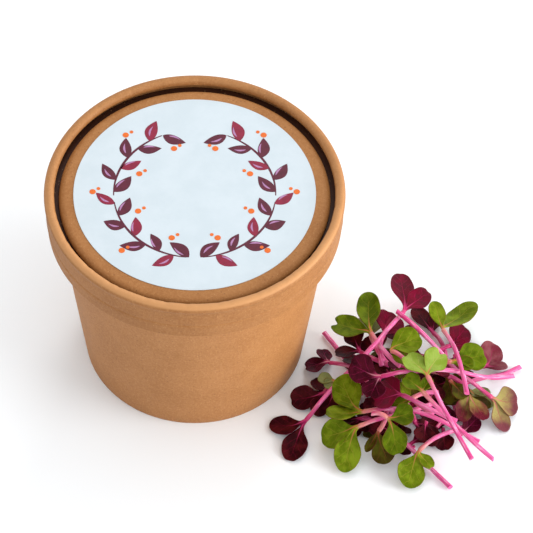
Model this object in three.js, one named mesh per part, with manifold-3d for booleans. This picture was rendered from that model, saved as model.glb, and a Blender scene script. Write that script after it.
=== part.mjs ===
// Red radish microgreens: a loose heap of cut sprouts beside their closed paper growing tub.
// Millimetres, +Z up. The tub's axis is the design origin, and the whole part is shifted at the end
// so that its origin is the centre of its footprint on the ground.

import * as THREE from 'three';
import Module from 'manifold-3d';

const wasm = await Module();
wasm.setup();

// Paper tub and lid

const SEGMENTS = 36;
const TUB = {
  footRadius: 37,
  wallLean: 0.116,
  wall: 0.8,
  footWidth: 2,
  footHeight: 3.6,
  rimHeight: 72.2,
  rimRoll: 1.3,
};
const LID = {
  top: 80,
  radius: 49.3,
  beadRoll: 1.7,
  skirtFoot: 64.5,
  skirtFootRadius: 48.4,
  creaseHeight: 70.5,
  creaseRadius: 48.8,
  board: 0.8,
  panelTop: 77.4,
  panelRadius: 43.7,
  panelThick: 1,
  flangeTop: 75,
  flangeRadius: 47.3,
};
const LABEL = { radius: 39.7, thick: 0.2, lift: 0.05 };
const BASE = { radius: 36.2, thick: 1, bottom: 3.9 };
const GROWING_DISC = { radius: 33, bottom: 5.9, height: 11, edge: 1.2 };
const SACHET = { length: 54, width: 38, thick: 3.2, hem: 4, hemThick: 0.8, bottom: 17.2 };

// Sprouts

const STEM = { ringEvery: 7.5, cutRadius: 1.08, nodeRadius: 0.92, arch: 0.8, gap: 0.3, sink: 1.5 };
// The second leaf's petiole lies a little under the first's and is a little slimmer. Broad blades have
// more columns of faces than narrow ones.
const BLADE = {
  columns: 2,
  broadColumns: 4,
  broadHalf: 4.2,
  petiole: 0.16,
  petioleHalf: 0.9,
  nodeThick: 1.5,
  thick: 0.7,
  fullest: 0.58,
  bend: 0.22,
  straightFrom: 0.62,
  cup: 0.6,
  lean: 0.18,
  under: 0.5,
  slimmer: 0.07,
};
// Places along a leaf, from its node to its tip row, at which the blade has a cross row.
const ROWS = [0, 0.16, 0.33, 0.52, 0.75, 1];
const HEAP = {
  cell: 0.4,
  gap: 0.25,
  groundGap: 0.3,
  xMin: 14,
  xMax: 126,
  yMin: -78,
  yMax: 32,
  leafRoll: 0.3,
  bend: 0.035,
  smoothing: 5,
  searchSteps: 20,
};

// Each shown sprout in the order in which it lies on the heap, lowest first: leaf colour, cut end, node
// where the leaves part, first leaf tip, second leaf tip, half widths of the two blades, sideways bow of
// the stem, depth of the notch at each leaf's tip, and 2 where stem and leaves are separate pieces or 1
// where they are fused. Places are in plan from the tub's axis.
const SHOWN = [
  ['dark', [71, -37.5], [66, -38.5], [59.5, -42.5], [63.5, -44.5], [3.4, 3], 0.4, [0.3, 0], 1],
  ['dark', [70.5, -31], [61.5, -36], [54.5, -37], [56, -42.5], [3.4, 3.2], 0.6, [0, 0.3], 1],
  ['dark', [66.5, -35.5], [56.5, -39], [46, -39], [51, -42.5], [3.2, 3.2], 0.8, [0.3, 0], 1],
  ['dark', [67.5, -16], [70.5, -5.5], [66, 1.5], [75.5, 1.5], [3.6, 3.2], 0.8, [0, 0], 1],
  ['dark', [44, 0], [61.5, -30.5], [58.5, -39.5], [70, -32.5], [3.6, 3.2], 0.6, [0, 0], 1],
  ['dark', [68, -29.5], [73.5, -40.5], [82, -46], [84.5, -36], [3.8, 3.2], 0.8, [0.6, 0], 1],
  ['dark', [85, -64], [65.5, -44.5], [58.5, -41], [65.5, -37.5], [3.8, 3.4], -0.8, [0.5, 0], 2],
  ['olive', [64, -38], [61.5, -46], [64.5, -56], [57, -52.5], [4.1, 1.8], 0.8, [0, 0], 1],
  ['green', [93.5, -38], [75, -52], [70.5, -64.5], [79, -58], [4.7, 2.6], -1, [0, 0.5], 2],
  ['green', [80, -34.5], [55, -45], [42, -46.5], [49, -58], [4.8, 4.9], 1.2, [0.3, 0], 1],
  ['dark', [53, -26], [46.5, -25], [40, -19.5], [41.5, -29], [3.4, 3.2], -0.6, [0.2, 0], 1],
  ['dark', [54, -19], [44, -26.5], [32, -29], [41, -34.5], [4, 3.6], -0.8, [0.5, 0], 1],
  ['pale', [54.5, -25.5], [47.5, -24.5], [41.5, -22.5], [43.5, -26], [2.4, 2], 0.4, [0, 0], 1],
  ['purple', [57, -19], [46, -15], [37, -15.5], [43, -8], [4, 3], 0.8, [0.6, 0.3], 1],
  ['dark', [54, -19], [37.5, -37.5], [25, -39], [31.5, -53], [4.4, 4.7], 0.5, [0, 0.3], 2],
  ['dark', [75, -25], [71, -19.5], [65.5, -14], [71.5, -11.5], [3.7, 3.4], 0.6, [0.4, 0], 1],
  ['dark', [88, -33], [84, -25], [81.5, -16.5], [78.5, -21], [3.4, 3], -0.5, [0.2, 0], 1],
  ['dark', [68.5, -31.5], [66, -24.5], [62.5, -13.5], [59.5, -20], [3.6, 3.2], -0.5, [0, 0.3], 1],
  ['dark', [67.5, -22.5], [62.5, -15.5], [56.5, -9.5], [62, -7], [3.4, 3], 0.8, [0.3, 0], 1],
  ['dark', [65.5, -22.5], [56, -15.5], [52.5, -5.5], [47, -16], [3.4, 3.6], 1, [0.2, 0.4], 1],
  ['pale', [63.5, -22], [59.5, -10.5], [54.5, -4], [62.5, -3.5], [3.2, 2.6], 0.6, [0, 0], 1],
  ['purple', [62.5, -25.5], [63.5, -12], [65.5, -2], [70, -4], [3.9, 3], 0.8, [0.4, 0], 1],
  ['dark', [85, -11.5], [81.5, -0.5], [75, 10.5], [82.5, 7], [3.2, 2.4], -1.2, [0, 0], 1],
  ['purple', [74.5, -16.5], [86, -7.5], [92.5, 1], [93, -6.5], [3.9, 2.8], 1, [0.3, 0], 1],
  ['pale', [83.5, -20.5], [92, -24.5], [100.5, -30.5], [100, -25], [2.8, 2.4], 0.8, [0, 0], 1],
  ['dark', [110.5, -14.5], [87.5, -25.5], [79.5, -28.5], [80.5, -20.5], [3, 2.8], 0.6, [0, 0], 1],
  ['olive', [74.5, -20.5], [84, -22.5], [87.5, -33], [91, -26], [4, 3], 1, [0.8, 0.5], 1],
  ['olive', [79.5, -41.5], [74, -37], [68.5, -30], [73, -30.5], [2.8, 2.4], 0.4, [0, 0], 1],
  ['green', [81.5, -34], [72.5, -37], [65, -39], [68, -31], [3.2, 2.6], -1, [0, 0], 1],
  ['green', [95, -47.5], [56.5, -40.5], [48.5, -25], [43.5, -39], [4.9, 5], -1, [0.2, 0.4], 2],
  ['mixed', [85.5, -24.5], [91.5, -31], [89, -40.5], [97.5, -40], [3, 3.7], 0.8, [0, 0.3], 1],
  ['purple', [89, -14.5], [98, -15], [102, -5], [106, -16], [4, 3.2], 0.6, [0.3, 0], 1],
  ['purple', [87, -46], [69.5, -37.5], [59, -39.5], [63, -30.5], [3.8, 3.4], 0.6, [0.8, 0.5], 1],
  ['green', [68.5, -27], [59.5, -14], [58.5, 4], [46, -7.5], [4.1, 4.9], 1, [0, 1.9], 1],
  ['green', [72.5, -30.5], [66, -23.5], [75.5, -17.5], [71, -27], [4.6, 2.4], -0.4, [0.3, 0], 1],
  ['purple', [55, -26], [70.5, -2.5], [70, 17], [79.5, 7.5], [4, 3.9], -1.4, [0.3, 0.4], 2],
  ['mixed', [68, -6], [99.5, -31], [109, -30.5], [104.5, -41], [4.8, 3.5], -1, [0.4, 0], 2],
  ['green', [59, -43], [64, -45], [73, -44], [67.5, -56], [4, 4.6], 0.3, [0.4, 0.4], 1],
  ['purple', [107.5, -23.5], [62.5, -32.5], [51.5, -27.5], [58, -39.5], [4.5, 4.6], 1.6, [0.4, 0.6], 2],
  ['green', [78, -25], [85.5, -22.5], [98, -18], [94, -23], [4.8, 2.4], 0.5, [0.6, 0], 1],
  ['green', [90.5, -38.5], [84, -8], [81, 3.5], [95.5, 8.5], [2.9, 4.6], -0.5, [0, 0], 2],
  ['green', [99, -59], [76, -39.5], [69.5, -34], [78.5, -32.5], [3.4, 2.2], 0.8, [0.3, 0], 2],
  ['green', [91.5, -62], [77.5, -35], [70, -27], [82.5, -24.5], [4.1, 4.2], 0.8, [0.6, 1.4], 2],
];

// A number from 0 to 1 that is different for each sprout and trait, and the same at every run.
function vary(index, trait) {
  const turns = (index + 1) * 0.618034 + (trait + 1) * 0.324718;
  return turns - Math.floor(turns);
}

// One closed solid from two like grids of points, the upper and the lower face, with equal splits.
function shell(upper, lower) {
  const rows = upper.length;
  const columns = upper[0].length;
  const at = (side, i, j) => (side * rows + i) * columns + j;
  const triangles = [];
  const quad = (a, b, c, d) => triangles.push(a, c, b, a, d, c);
  for (let i = 0; i < rows - 1; i++) {
    for (let j = 0; j < columns - 1; j++) {
      quad(at(0, i, j), at(0, i, j + 1), at(0, i + 1, j + 1), at(0, i + 1, j));
      triangles.push(at(1, i, j), at(1, i, j + 1), at(1, i + 1, j + 1));
      triangles.push(at(1, i, j), at(1, i + 1, j + 1), at(1, i + 1, j));
    }
    quad(at(0, i, 0), at(0, i + 1, 0), at(1, i + 1, 0), at(1, i, 0));
    quad(at(0, i, columns - 1), at(1, i, columns - 1), at(1, i + 1, columns - 1), at(0, i + 1, columns - 1));
  }
  for (let j = 0; j < columns - 1; j++) {
    quad(at(0, 0, j), at(1, 0, j), at(1, 0, j + 1), at(0, 0, j + 1));
    quad(at(0, rows - 1, j), at(0, rows - 1, j + 1), at(1, rows - 1, j + 1), at(1, rows - 1, j));
  }
  return { points: [...upper.flat(), ...lower.flat()], triangles };
}

// A sprout's lines in plan: the stem from cut end to node, and the two midribs from the node to the tips.
function stemPoint(sprout, t) {
  const side = sprout.across.clone().multiplyScalar(sprout.bow * 4 * t * (1 - t));
  const point = sprout.cut.clone().lerp(sprout.node, t).add(side);
  return new THREE.Vector3(point.x, point.y, sprout.arch * 4 * t * (1 - t));
}

function makeSprout(row, index) {
  const [colour, cut, node, tipA, tipB, halves, bow, notches, pieces] = row;
  const sprout = { colour, index, bow, notches, halves, fused: pieces === 1 };
  sprout.cut = new THREE.Vector2(...cut);
  sprout.node = new THREE.Vector2(...node);
  sprout.length = sprout.cut.distanceTo(sprout.node);
  sprout.tips = [new THREE.Vector2(...tipA), new THREE.Vector2(...tipB)];
  sprout.along = sprout.node.clone().sub(sprout.cut).normalize();
  sprout.across = new THREE.Vector2(-sprout.along.y, sprout.along.x);
  sprout.arch = STEM.arch * (vary(index, 0) * 2 - 0.6);
  return sprout;
}

// Stem solid: six sided rings that stand upright across the stem's line, flat at both ends.
function stemSolid(sprout, endGap) {
  const { length } = sprout;
  const steps = Math.ceil(length / STEM.ringEvery);
  const upper = [];
  const lower = [];
  for (let i = 0; i <= steps; i++) {
    const t = (i / steps) * (1 - endGap / length);
    const centre = stemPoint(sprout, t);
    const radius = THREE.MathUtils.lerp(STEM.cutRadius, STEM.nodeRadius, t);
    const ahead = stemPoint(sprout, t + 0.01).sub(stemPoint(sprout, t - 0.01));
    const side = new THREE.Vector3(-ahead.y, ahead.x, 0).normalize();
    const corner = (degrees) => {
      const angle = THREE.MathUtils.degToRad(degrees);
      const out = side.clone().multiplyScalar(radius * Math.cos(angle));
      const point = centre.clone().add(out).add(new THREE.Vector3(0, 0, radius * Math.sin(angle)));
      return Object.assign(point, { way: t * length, side: 0 });
    };
    upper.push([30, 90, 150].map(corner).reverse());
    lower.push([-30, -90, -150].map(corner).reverse());
  }
  return shell(upper, lower);
}

// Half width of a leaf at the fraction u of its length: a slim petiole that opens into a round blade.
function halfWidth(u, half) {
  const tau = Math.max(0, (u - BLADE.petiole) / (1 - BLADE.petiole));
  const start = BLADE.petioleHalf / half;
  if (tau < BLADE.fullest) {
    const open = THREE.MathUtils.smoothstep(tau / BLADE.fullest, 0, 1) ** 1.1;
    return half * (start + (1 - start) * open);
  }
  const beyond = (tau - BLADE.fullest) / (1 - BLADE.fullest);
  return half * Math.sqrt(Math.max(0, 1 - beyond * beyond));
}

// A point of a leaf's middle surface: row is a fraction of the way to the bowed tip row, v runs across.
function bladePoint(sprout, leaf, row, v) {
  const half = sprout.halves[leaf];
  const tipEnd = (1 - BLADE.petiole) * (1 - BLADE.fullest);
  const lastRow = 1 - tipEnd * (1 - Math.SQRT1_2);
  const u0 = row * lastRow;
  const tipShare = Math.max(0, (u0 - BLADE.petiole) / (lastRow - BLADE.petiole));
  const bow = tipEnd * (Math.sqrt(1 - (v * v) / 2) - Math.SQRT1_2);
  const start = sprout.node;
  const tip = sprout.tips[leaf];
  const length = start.distanceTo(tip);
  const notch = (sprout.notches[leaf] / length) * Math.exp(-((v / 0.35) ** 2)) * tipShare ** 3;
  const u = u0 + tipShare ** 2 * bow - notch;
  const heading = stemPoint(sprout, 1).sub(stemPoint(sprout, 0.98)).setZ(0).setLength(length * BLADE.bend);
  const near = new THREE.Vector2(start.x + heading.x, start.y + heading.y);
  const mid = new THREE.CubicBezierCurve(start, near, start.clone().lerp(tip, BLADE.straightFrom), tip);
  const centre = mid.getPoint(u);
  const tangent = mid.getTangent(u);
  const y = v * halfWidth(u0, half) * (1 - leaf * BLADE.slimmer);
  const blade = THREE.MathUtils.smoothstep(u, 0.1, 0.6);
  const rise = BLADE.lean * (tip.y - start.y) + 1.8 * (vary(sprout.index, 3 + leaf) - 0.5);
  const roll = 0.5 * (vary(sprout.index, 5 + leaf) - 0.5);
  const cup = BLADE.cup * v * v * blade;
  const z = rise * Math.max(0, u) ** 1.4 + roll * y * blade + cup - leaf * BLADE.under;
  const point = new THREE.Vector3(centre.x - tangent.y * y, centre.y + tangent.x * y, z);
  return Object.assign(point, { way: sprout.length + u * length, side: y * blade });
}

function bladeSolid(sprout, leaf) {
  const upper = [];
  const lower = [];
  const step = 0.02;
  const columns = sprout.halves[leaf] < BLADE.broadHalf ? BLADE.columns : BLADE.broadColumns;
  for (const row of ROWS) {
    const thinned = THREE.MathUtils.smoothstep(row, 0.1, 0.5);
    const thick = THREE.MathUtils.lerp(BLADE.nodeThick, BLADE.thick, thinned);
    const top = [];
    const bottom = [];
    for (let j = 0; j <= columns; j++) {
      const v = (2 * j) / columns - 1;
      const point = bladePoint(sprout, leaf, row, v);
      const alongRow = bladePoint(sprout, leaf, row, v + step).sub(bladePoint(sprout, leaf, row, v - step));
      const alongLeaf = bladePoint(sprout, leaf, row + step, v).sub(bladePoint(sprout, leaf, row - step, v));
      const normal = alongLeaf.cross(alongRow).normalize().multiplyScalar(thick / 2);
      const { way, side } = point;
      top.push(Object.assign(point.clone().add(normal), { way, side }));
      bottom.push(point.sub(normal));
    }
    upper.push(top);
    lower.push(bottom);
  }
  return shell(upper, lower);
}

// The heap's upper surface, kept as the highest point over each small square of the ground.
const columnsX = Math.round((HEAP.xMax - HEAP.xMin) / HEAP.cell);
const columnsY = Math.round((HEAP.yMax - HEAP.yMin) / HEAP.cell);
const heapTop = new Float64Array(columnsX * columnsY).fill(HEAP.groundGap - HEAP.gap);

// Calls visit(cell, at) for each square whose centre lies under a triangle of the solid. There at('z')
// is the triangle's height at that centre, and at('way') and at('side') are its places on the sprout.
function overSquares(solid, visit) {
  const { points, triangles } = solid;
  for (let k = 0; k < triangles.length; k += 3) {
    const [a, b, c] = [points[triangles[k]], points[triangles[k + 1]], points[triangles[k + 2]]];
    const area = (b.x - a.x) * (c.y - a.y) - (c.x - a.x) * (b.y - a.y);
    if (Math.abs(area) < 1e-9) continue;
    const first = (low, value) => Math.ceil((value - low) / HEAP.cell - 0.5);
    const i0 = first(HEAP.xMin, Math.min(a.x, b.x, c.x));
    const i1 = first(HEAP.xMin, Math.max(a.x, b.x, c.x));
    const j0 = first(HEAP.yMin, Math.min(a.y, b.y, c.y));
    const j1 = first(HEAP.yMin, Math.max(a.y, b.y, c.y));
    for (let j = j0; j < j1; j++) {
      for (let i = i0; i < i1; i++) {
        const x = HEAP.xMin + (i + 0.5) * HEAP.cell;
        const y = HEAP.yMin + (j + 0.5) * HEAP.cell;
        const shareB = ((x - a.x) * (c.y - a.y) - (c.x - a.x) * (y - a.y)) / area;
        const shareC = ((b.x - a.x) * (y - a.y) - (x - a.x) * (b.y - a.y)) / area;
        if (shareB < 0 || shareC < 0 || shareB + shareC > 1) continue;
        visit(j * columnsX + i, (key) => a[key] + shareB * (b[key] - a[key]) + shareC * (c[key] - a[key]));
      }
    }
  }
}

// The place of the least value of a function with one dip between low and high, and that value.
function leastOf(value, low, high) {
  const golden = (Math.sqrt(5) - 1) / 2;
  let [left, right] = [high - golden * (high - low), low + golden * (high - low)];
  let [atLeft, atRight] = [value(left), value(right)];
  for (let step = 0; step < HEAP.searchSteps; step++) {
    if (atLeft < atRight) {
      high = right;
      [right, atRight] = [left, atLeft];
      left = high - golden * (high - low);
      atLeft = value(left);
    } else {
      low = left;
      [left, atLeft] = [right, atRight];
      right = low + golden * (high - low);
      atRight = value(right);
    }
  }
  return { place: left, least: atLeft };
}

// The squares that a solid covers, each with the height that it needs to lie clear of what is below.
function supportsUnder(solid, branch) {
  const lowest = new Map();
  overSquares(solid, (cell, at) => {
    const z = at('z');
    if (lowest.has(cell) && lowest.get(cell).z <= z) return;
    lowest.set(cell, { z, way: at('way'), side: at('side') });
  });
  return [...lowest].map(([cell, low]) => ({ ...low, branch, need: heapTop[cell] + HEAP.gap - low.z }));
}

// Lays a sprout's stem and two leaves on the heap. Each leaf rolls to where it lies lowest. Then the
// sprout sags from what holds it up, no sharper than its bend allows, and is smoothed along its length.
function layOnHeap(sprout, solids) {
  const supports = solids.map(supportsUnder);
  solids.forEach((solid, branch) => {
    const highest = (roll) => Math.max(...supports[branch].map((s) => s.need - roll * s.side));
    const roll = branch > 0 ? leastOf(highest, -HEAP.leafRoll, HEAP.leafRoll).place : 0;
    for (const point of solid.points) point.z += roll * point.side;
    for (const s of supports[branch]) s.need -= roll * s.side;
  });
  const held = new Map();
  for (const s of supports.flat()) {
    const key = `${s.branch} ${Math.floor(s.way)}`;
    if (!held.has(key) || held.get(key).need < s.need) held.set(key, s);
  }
  const stations = [...held.values()];
  const apart = (p, q) => {
    const throughNode = p.branch * q.branch > 0 && p.branch !== q.branch;
    return throughNode ? p.way + q.way - 2 * sprout.length : Math.abs(p.way - q.way);
  };
  for (const p of stations) {
    p.sagged = Math.max(...stations.map((q) => q.need - (HEAP.bend / 2) * apart(p, q) ** 2));
  }
  const smooth = (p) => {
    let total = 0;
    let weights = 0;
    for (const q of stations) {
      const weight = Math.max(0, 1 - (apart(p, q) / HEAP.smoothing) ** 2);
      total += weight * q.sagged;
      weights += weight;
    }
    return total / weights;
  };
  const lift = Math.max(...stations.map((p) => p.need - smooth(p)));
  solids.forEach((solid, branch) => {
    for (const point of solid.points) point.z += lift + smooth({ way: point.way, branch });
    overSquares(solid, (cell, at) => {
      for (const dy of [-columnsX, 0, columnsX]) {
        for (const dx of [-1, 0, 1]) heapTop[cell + dx + dy] = Math.max(heapTop[cell + dx + dy], at('z'));
      }
    });
  });
}

// Meshes

const COLOURS = {
  board: 0xb98a5a,
  panel: 0xa97b4c,
  label: 0xd3e4ef,
  coir: 0x5b4030,
  sachet: 0xe9e2d2,
  stem: 0xd8559a,
  green: 0x7fa63a,
  pale: 0xa3bd62,
  olive: 0x6d7a35,
  mixed: 0x8a7a4c,
  purple: 0x6f2547,
  dark: 0x451a2b,
};

const part = new THREE.Group();

function addMesh(name, geometry, colour, roughness = 0.7) {
  const material = new THREE.MeshStandardMaterial({ color: COLOURS[colour], roughness, metalness: 0 });
  const mesh = new THREE.Mesh(geometry, material);
  mesh.name = name;
  part.add(mesh);
}

function toGeometry(points, triangles) {
  const geometry = new THREE.BufferGeometry();
  geometry.setAttribute('position', new THREE.Float32BufferAttribute(points, 3));
  geometry.setIndex([...triangles]);
  return geometry;
}

// One body from solids that sink into each other. A hollow that this seals is filled.
function fuse(solids) {
  const [first, ...others] = solids.map(({ points, triangles }) => {
    const vertProperties = new Float32Array(points.flatMap((p) => [p.x, p.y, p.z]));
    const triVerts = new Uint32Array(triangles);
    return new wasm.Manifold(new wasm.Mesh({ numProp: 3, vertProperties, triVerts }));
  });
  const shells = others.reduce((body, solid) => body.add(solid), first).decompose();
  const mesh = shells.reduce((largest, one) => (one.volume() > largest.volume() ? one : largest)).getMesh();
  return toGeometry(mesh.vertProperties, mesh.triVerts);
}

// A ring or a disc turned about the tub's axis from its profile of [radius, height] points.
function turned(profile) {
  const closed = profile.map(([radius, height]) => new THREE.Vector2(radius, height));
  if (profile[0][0] > 0) closed.push(closed[0].clone());
  return new THREE.LatheGeometry(closed, SEGMENTS).rotateX(Math.PI / 2);
}

function arc(radius, height, roll, fromDegrees, toDegrees, steps) {
  return Array.from({ length: steps + 1 }, (_, k) => {
    const angle = THREE.MathUtils.degToRad(fromDegrees + ((toDegrees - fromDegrees) * k) / steps);
    return [radius + roll * Math.cos(angle), height + roll * Math.sin(angle)];
  });
}

const disc = (radius, bottom, top) => [[0, bottom], [radius, bottom], [radius, top], [0, top]];

function addTub() {
  const radiusAt = (height) => TUB.footRadius + TUB.wallLean * height;
  const neck = TUB.rimHeight - TUB.rimRoll;
  const innerFoot = TUB.footRadius - TUB.footWidth;
  addMesh('tub_wall', turned([
    [TUB.footRadius, 0],
    [radiusAt(neck), neck],
    ...arc(radiusAt(neck) - 0.1, TUB.rimHeight, TUB.rimRoll, -60, 210, 7),
    [radiusAt(neck) - TUB.wall, neck - 1],
    [radiusAt(TUB.footHeight) - TUB.wall, TUB.footHeight + 0.6],
    [innerFoot, TUB.footHeight],
    [innerFoot, 0],
  ]), 'board');
  addMesh('tub_base', turned(disc(BASE.radius, BASE.bottom + 0.7, BASE.bottom + 0.7 + BASE.thick)), 'board');
}

function addLid() {
  const beadRadius = LID.radius - LID.beadRoll;
  const beadHeight = LID.top - LID.beadRoll;
  addMesh('lid_ring', turned([
    [LID.skirtFootRadius, LID.skirtFoot],
    [LID.creaseRadius, LID.creaseHeight],
    ...arc(beadRadius, beadHeight, LID.beadRoll, -40, 200, 9),
    [LID.skirtFootRadius - LID.board, beadHeight - 2],
    [LID.skirtFootRadius - LID.board, LID.skirtFoot],
  ]), 'board');
  const panelInside = LID.panelRadius - LID.panelThick;
  const flangeBottom = LID.flangeTop - LID.panelThick;
  addMesh('lid_panel', turned([
    [0, LID.panelTop - LID.panelThick],
    [panelInside, LID.panelTop - LID.panelThick],
    [panelInside, flangeBottom],
    [LID.flangeRadius, flangeBottom],
    [LID.flangeRadius, LID.flangeTop],
    [LID.panelRadius, LID.flangeTop],
    [LID.panelRadius, LID.panelTop],
    [0, LID.panelTop],
  ]), 'panel');
  const labelBottom = LID.panelTop + LABEL.lift;
  addMesh('label', turned(disc(LABEL.radius, labelBottom, labelBottom + LABEL.thick)), 'label', 0.5);
}

function addContents() {
  const { radius, bottom, height, edge } = GROWING_DISC;
  addMesh('growing_disc', turned([
    [0, bottom],
    [radius - edge, bottom],
    [radius, bottom + edge],
    [radius, bottom + height - edge],
    [radius - edge, bottom + height],
    [0, bottom + height],
  ]), 'coir', 0.95);
  const outline = new THREE.Shape([
    [-SACHET.length / 2, 0],
    [SACHET.length / 2, 0],
    [SACHET.length / 2, SACHET.hemThick],
    [SACHET.length / 2 - SACHET.hem, SACHET.thick],
    [SACHET.hem - SACHET.length / 2, SACHET.thick],
    [-SACHET.length / 2, SACHET.hemThick],
  ].map(([x, z]) => new THREE.Vector2(x, z)));
  const sachet = new THREE.ExtrudeGeometry(outline, { depth: SACHET.width, bevelEnabled: false });
  sachet.rotateX(Math.PI / 2).translate(0, SACHET.width / 2, SACHET.bottom);
  addMesh('seed_sachet', sachet, 'sachet');
}

function addSprout(row, index) {
  const sprout = makeSprout(row, index);
  const name = `sprout_${String(index + 1).padStart(2, '0')}`;
  const stem = stemSolid(sprout, sprout.fused ? -STEM.sink : STEM.gap);
  const blades = [bladeSolid(sprout, 0), bladeSolid(sprout, 1)];
  layOnHeap(sprout, [stem, ...blades]);
  if (sprout.fused) {
    addMesh(name, fuse([stem, ...blades]), sprout.colour);
    return;
  }
  addMesh(`${name}_stem`, toGeometry(stem.points.flatMap((p) => [p.x, p.y, p.z]), stem.triangles), 'stem');
  addMesh(`${name}_leaves`, fuse(blades), sprout.colour);
}

addTub();
addLid();
addContents();
SHOWN.forEach(addSprout);

// The origin is the middle of the part's footprint, on the ground.
const bounds = new THREE.Box3().setFromObject(part);
const middle = bounds.getCenter(new THREE.Vector3());
part.position.set(-middle.x, -middle.y, -bounds.min.z);
part.updateMatrixWorld(true);

export default part;
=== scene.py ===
"""Red radish microgreens: a loose heap of cut sprouts beside their closed paper growing tub.

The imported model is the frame. Sizes below are in millimetres from the tub's axis, as in the CAD source,
and to_frame() turns them into metres in the frame.
"""

import math

import bpy
import numpy as np
from mathutils import Matrix, Vector
from mathutils.bvhtree import BVHTree


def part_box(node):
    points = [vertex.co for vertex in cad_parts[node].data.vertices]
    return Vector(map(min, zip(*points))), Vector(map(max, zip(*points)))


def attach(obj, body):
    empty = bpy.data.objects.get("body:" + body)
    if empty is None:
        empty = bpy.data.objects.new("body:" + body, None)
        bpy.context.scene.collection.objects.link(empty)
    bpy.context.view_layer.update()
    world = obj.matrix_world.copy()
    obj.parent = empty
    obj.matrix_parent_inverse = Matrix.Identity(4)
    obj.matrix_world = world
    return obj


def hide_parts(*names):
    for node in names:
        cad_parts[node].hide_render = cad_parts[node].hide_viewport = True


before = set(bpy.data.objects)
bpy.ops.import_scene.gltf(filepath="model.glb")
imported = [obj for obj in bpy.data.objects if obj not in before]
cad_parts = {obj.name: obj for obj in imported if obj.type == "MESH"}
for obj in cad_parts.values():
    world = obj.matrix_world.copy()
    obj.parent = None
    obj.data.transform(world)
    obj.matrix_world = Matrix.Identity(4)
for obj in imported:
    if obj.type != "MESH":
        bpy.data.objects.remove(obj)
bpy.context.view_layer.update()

# Lengths are in millimetres and turns in degrees, except where a comment says otherwise.

MILLIMETRE = 0.001

# Camera: the photograph looks down at the tub's axis from far away, with the heap at the right. Its focal
# length and the axis's place in it are in pixels.

PHOTO_PIXELS = 533
CAMERA_TILT = 52.7
CAMERA_DISTANCE = 1500
CAMERA_AIM_HEIGHT = 38.4
FOCAL_PIXELS = 4490
AXIS_PIXEL = 194.7
SENSOR = 36

# Light: a white room, a faint soft box behind and a large one low at the right. A box's turn is from +X
# towards the viewer and its height is an angle above the ground. Its distance and size and the floor's
# half width are in metres, and its power is in watts.

ROOM_STRENGTH = 0.93
SOFT_BOXES = dict(
    back=dict(turn=-75, height=45, distance=1.2, size=0.5, power=3.4),
    side=dict(turn=18, height=10, distance=1.1, size=0.9, power=17.5),
)
LIGHT_AIM_HEIGHT = 40
FLOOR_HALF = 4.0

# Tub and lid: the CAD source's values, and those of the paper's waves, creases and seam. The top of the
# lid's bead has a painted highlight: from how deep below its top and over what height, and which share of
# the paler colour it has from the back to the front of the lid, whose places are in metres.

TUB = dict(foot_radius=37, wall_lean=0.116, wall=0.8, foot_width=2, foot_height=3.6, rim_height=72.2,
           rim_roll=1.3, wave=0.08)
LID = dict(top=80, radius=49.3, bead_roll=1.7, skirt_foot=64.5, skirt_foot_radius=48.4, crease_height=70.5,
           crease_radius=48.8, board=0.8, panel_top=77.4, panel_radius=43.7, panel_thick=1, flange_top=75,
           flange_radius=47.3, rounded_radius=44.5, rounding=2.3, panel_raised=0.03, wave=0.05)
LABEL = dict(radius=39.7, thick=0.2, lift=0.05, ink=0.02, back=0.25)
WREATH = dict(ring=26.5, twig_half=0.42, leaves=15, first_leaf=176, leaf_step=10.9, opening=38, length=7.4,
              half=1.65, berries=7, first_berry=158, berry_step=23, outside=6.9, inside=-6.6, berry=1.05,
              small_berry=0.62)
SEAM = dict(turn=118, reach=13, level=9, step=0.4)
BEAD = dict(creases=64, neck_turn=-38, end_turn=215, least_width=0.5, more_width=1.1, least_depth=0.03,
            more_depth=0.11)
# Painted highlight along the top of the lid's bead, strongest at the front
BEAD_HIGHLIGHT = dict(deep=1.2, fade=0.8, front=-0.03, back=0.03, least=0.22, most=0.8)
TUB_SEGMENTS = 240
LID_SEGMENTS = 480

# Shades of the paper board: the main one, a deeper and a paler one. Each is as seen, from 0 to 255.
KRAFT = dict(
    board=((168, 114, 65), (155, 101, 53), (190, 138, 87)),
    lid=((158, 105, 57), (144, 92, 45), (182, 130, 80)),
    panel=((166, 111, 60), (152, 98, 48), (184, 131, 79)),
    # A near-black copy of the board: painted shade for the faces low in the lid's groove
    groove_shade=((58, 24, 6), (44, 16, 3), (74, 36, 10)),
)

# Inks of the label, from the lowest layer to the highest: the main shade and a deeper one
INKS = dict(
    plum=((92, 6, 40), (76, 2, 32)),
    crimson=((140, 6, 52), (120, 4, 44)),
    lilac=((176, 128, 170), (160, 110, 156)),
    orange=((226, 108, 22), (212, 96, 16)),
)

# Shades of the stems and stalks where the leaves part
SALMON = (204, 134, 104)
MAGENTA = (186, 30, 98)

# Sprouts: the CAD source's values, how far a packed vertex may be off its curve before it counts for
# less, and the values of the visible surface.

STEM = dict(ring_every=7.5, cut_radius=1.08, node_radius=0.92, arch=0.8, gap=0.3, sink=1.5)
BLADE = dict(columns=2, broad_columns=4, broad_half=4.2, petiole=0.16, petiole_half=0.9, node_thick=1.5,
             thick=0.7, fullest=0.58, bend=0.22, straight_from=0.62, cup=0.6, lean=0.18, under=0.5,
             slimmer=0.07)
ROWS = [0, 0.16, 0.33, 0.52, 0.75, 1]
LAY_SLACK = 0.1
FINE = dict(stem_rings=36, stem_sides=14, cut_radius=0.82, node_radius=0.7, flute=0.03, slant=0.22,
            widening=0.2, rows=40, columns=21, start=-0.05, node_thick=1.05, thick=0.38, petiole_half=0.62,
            ripple=0.2, curl=0.1, groove=0.1, rib=0.16, rounded_from=0.93)

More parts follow.
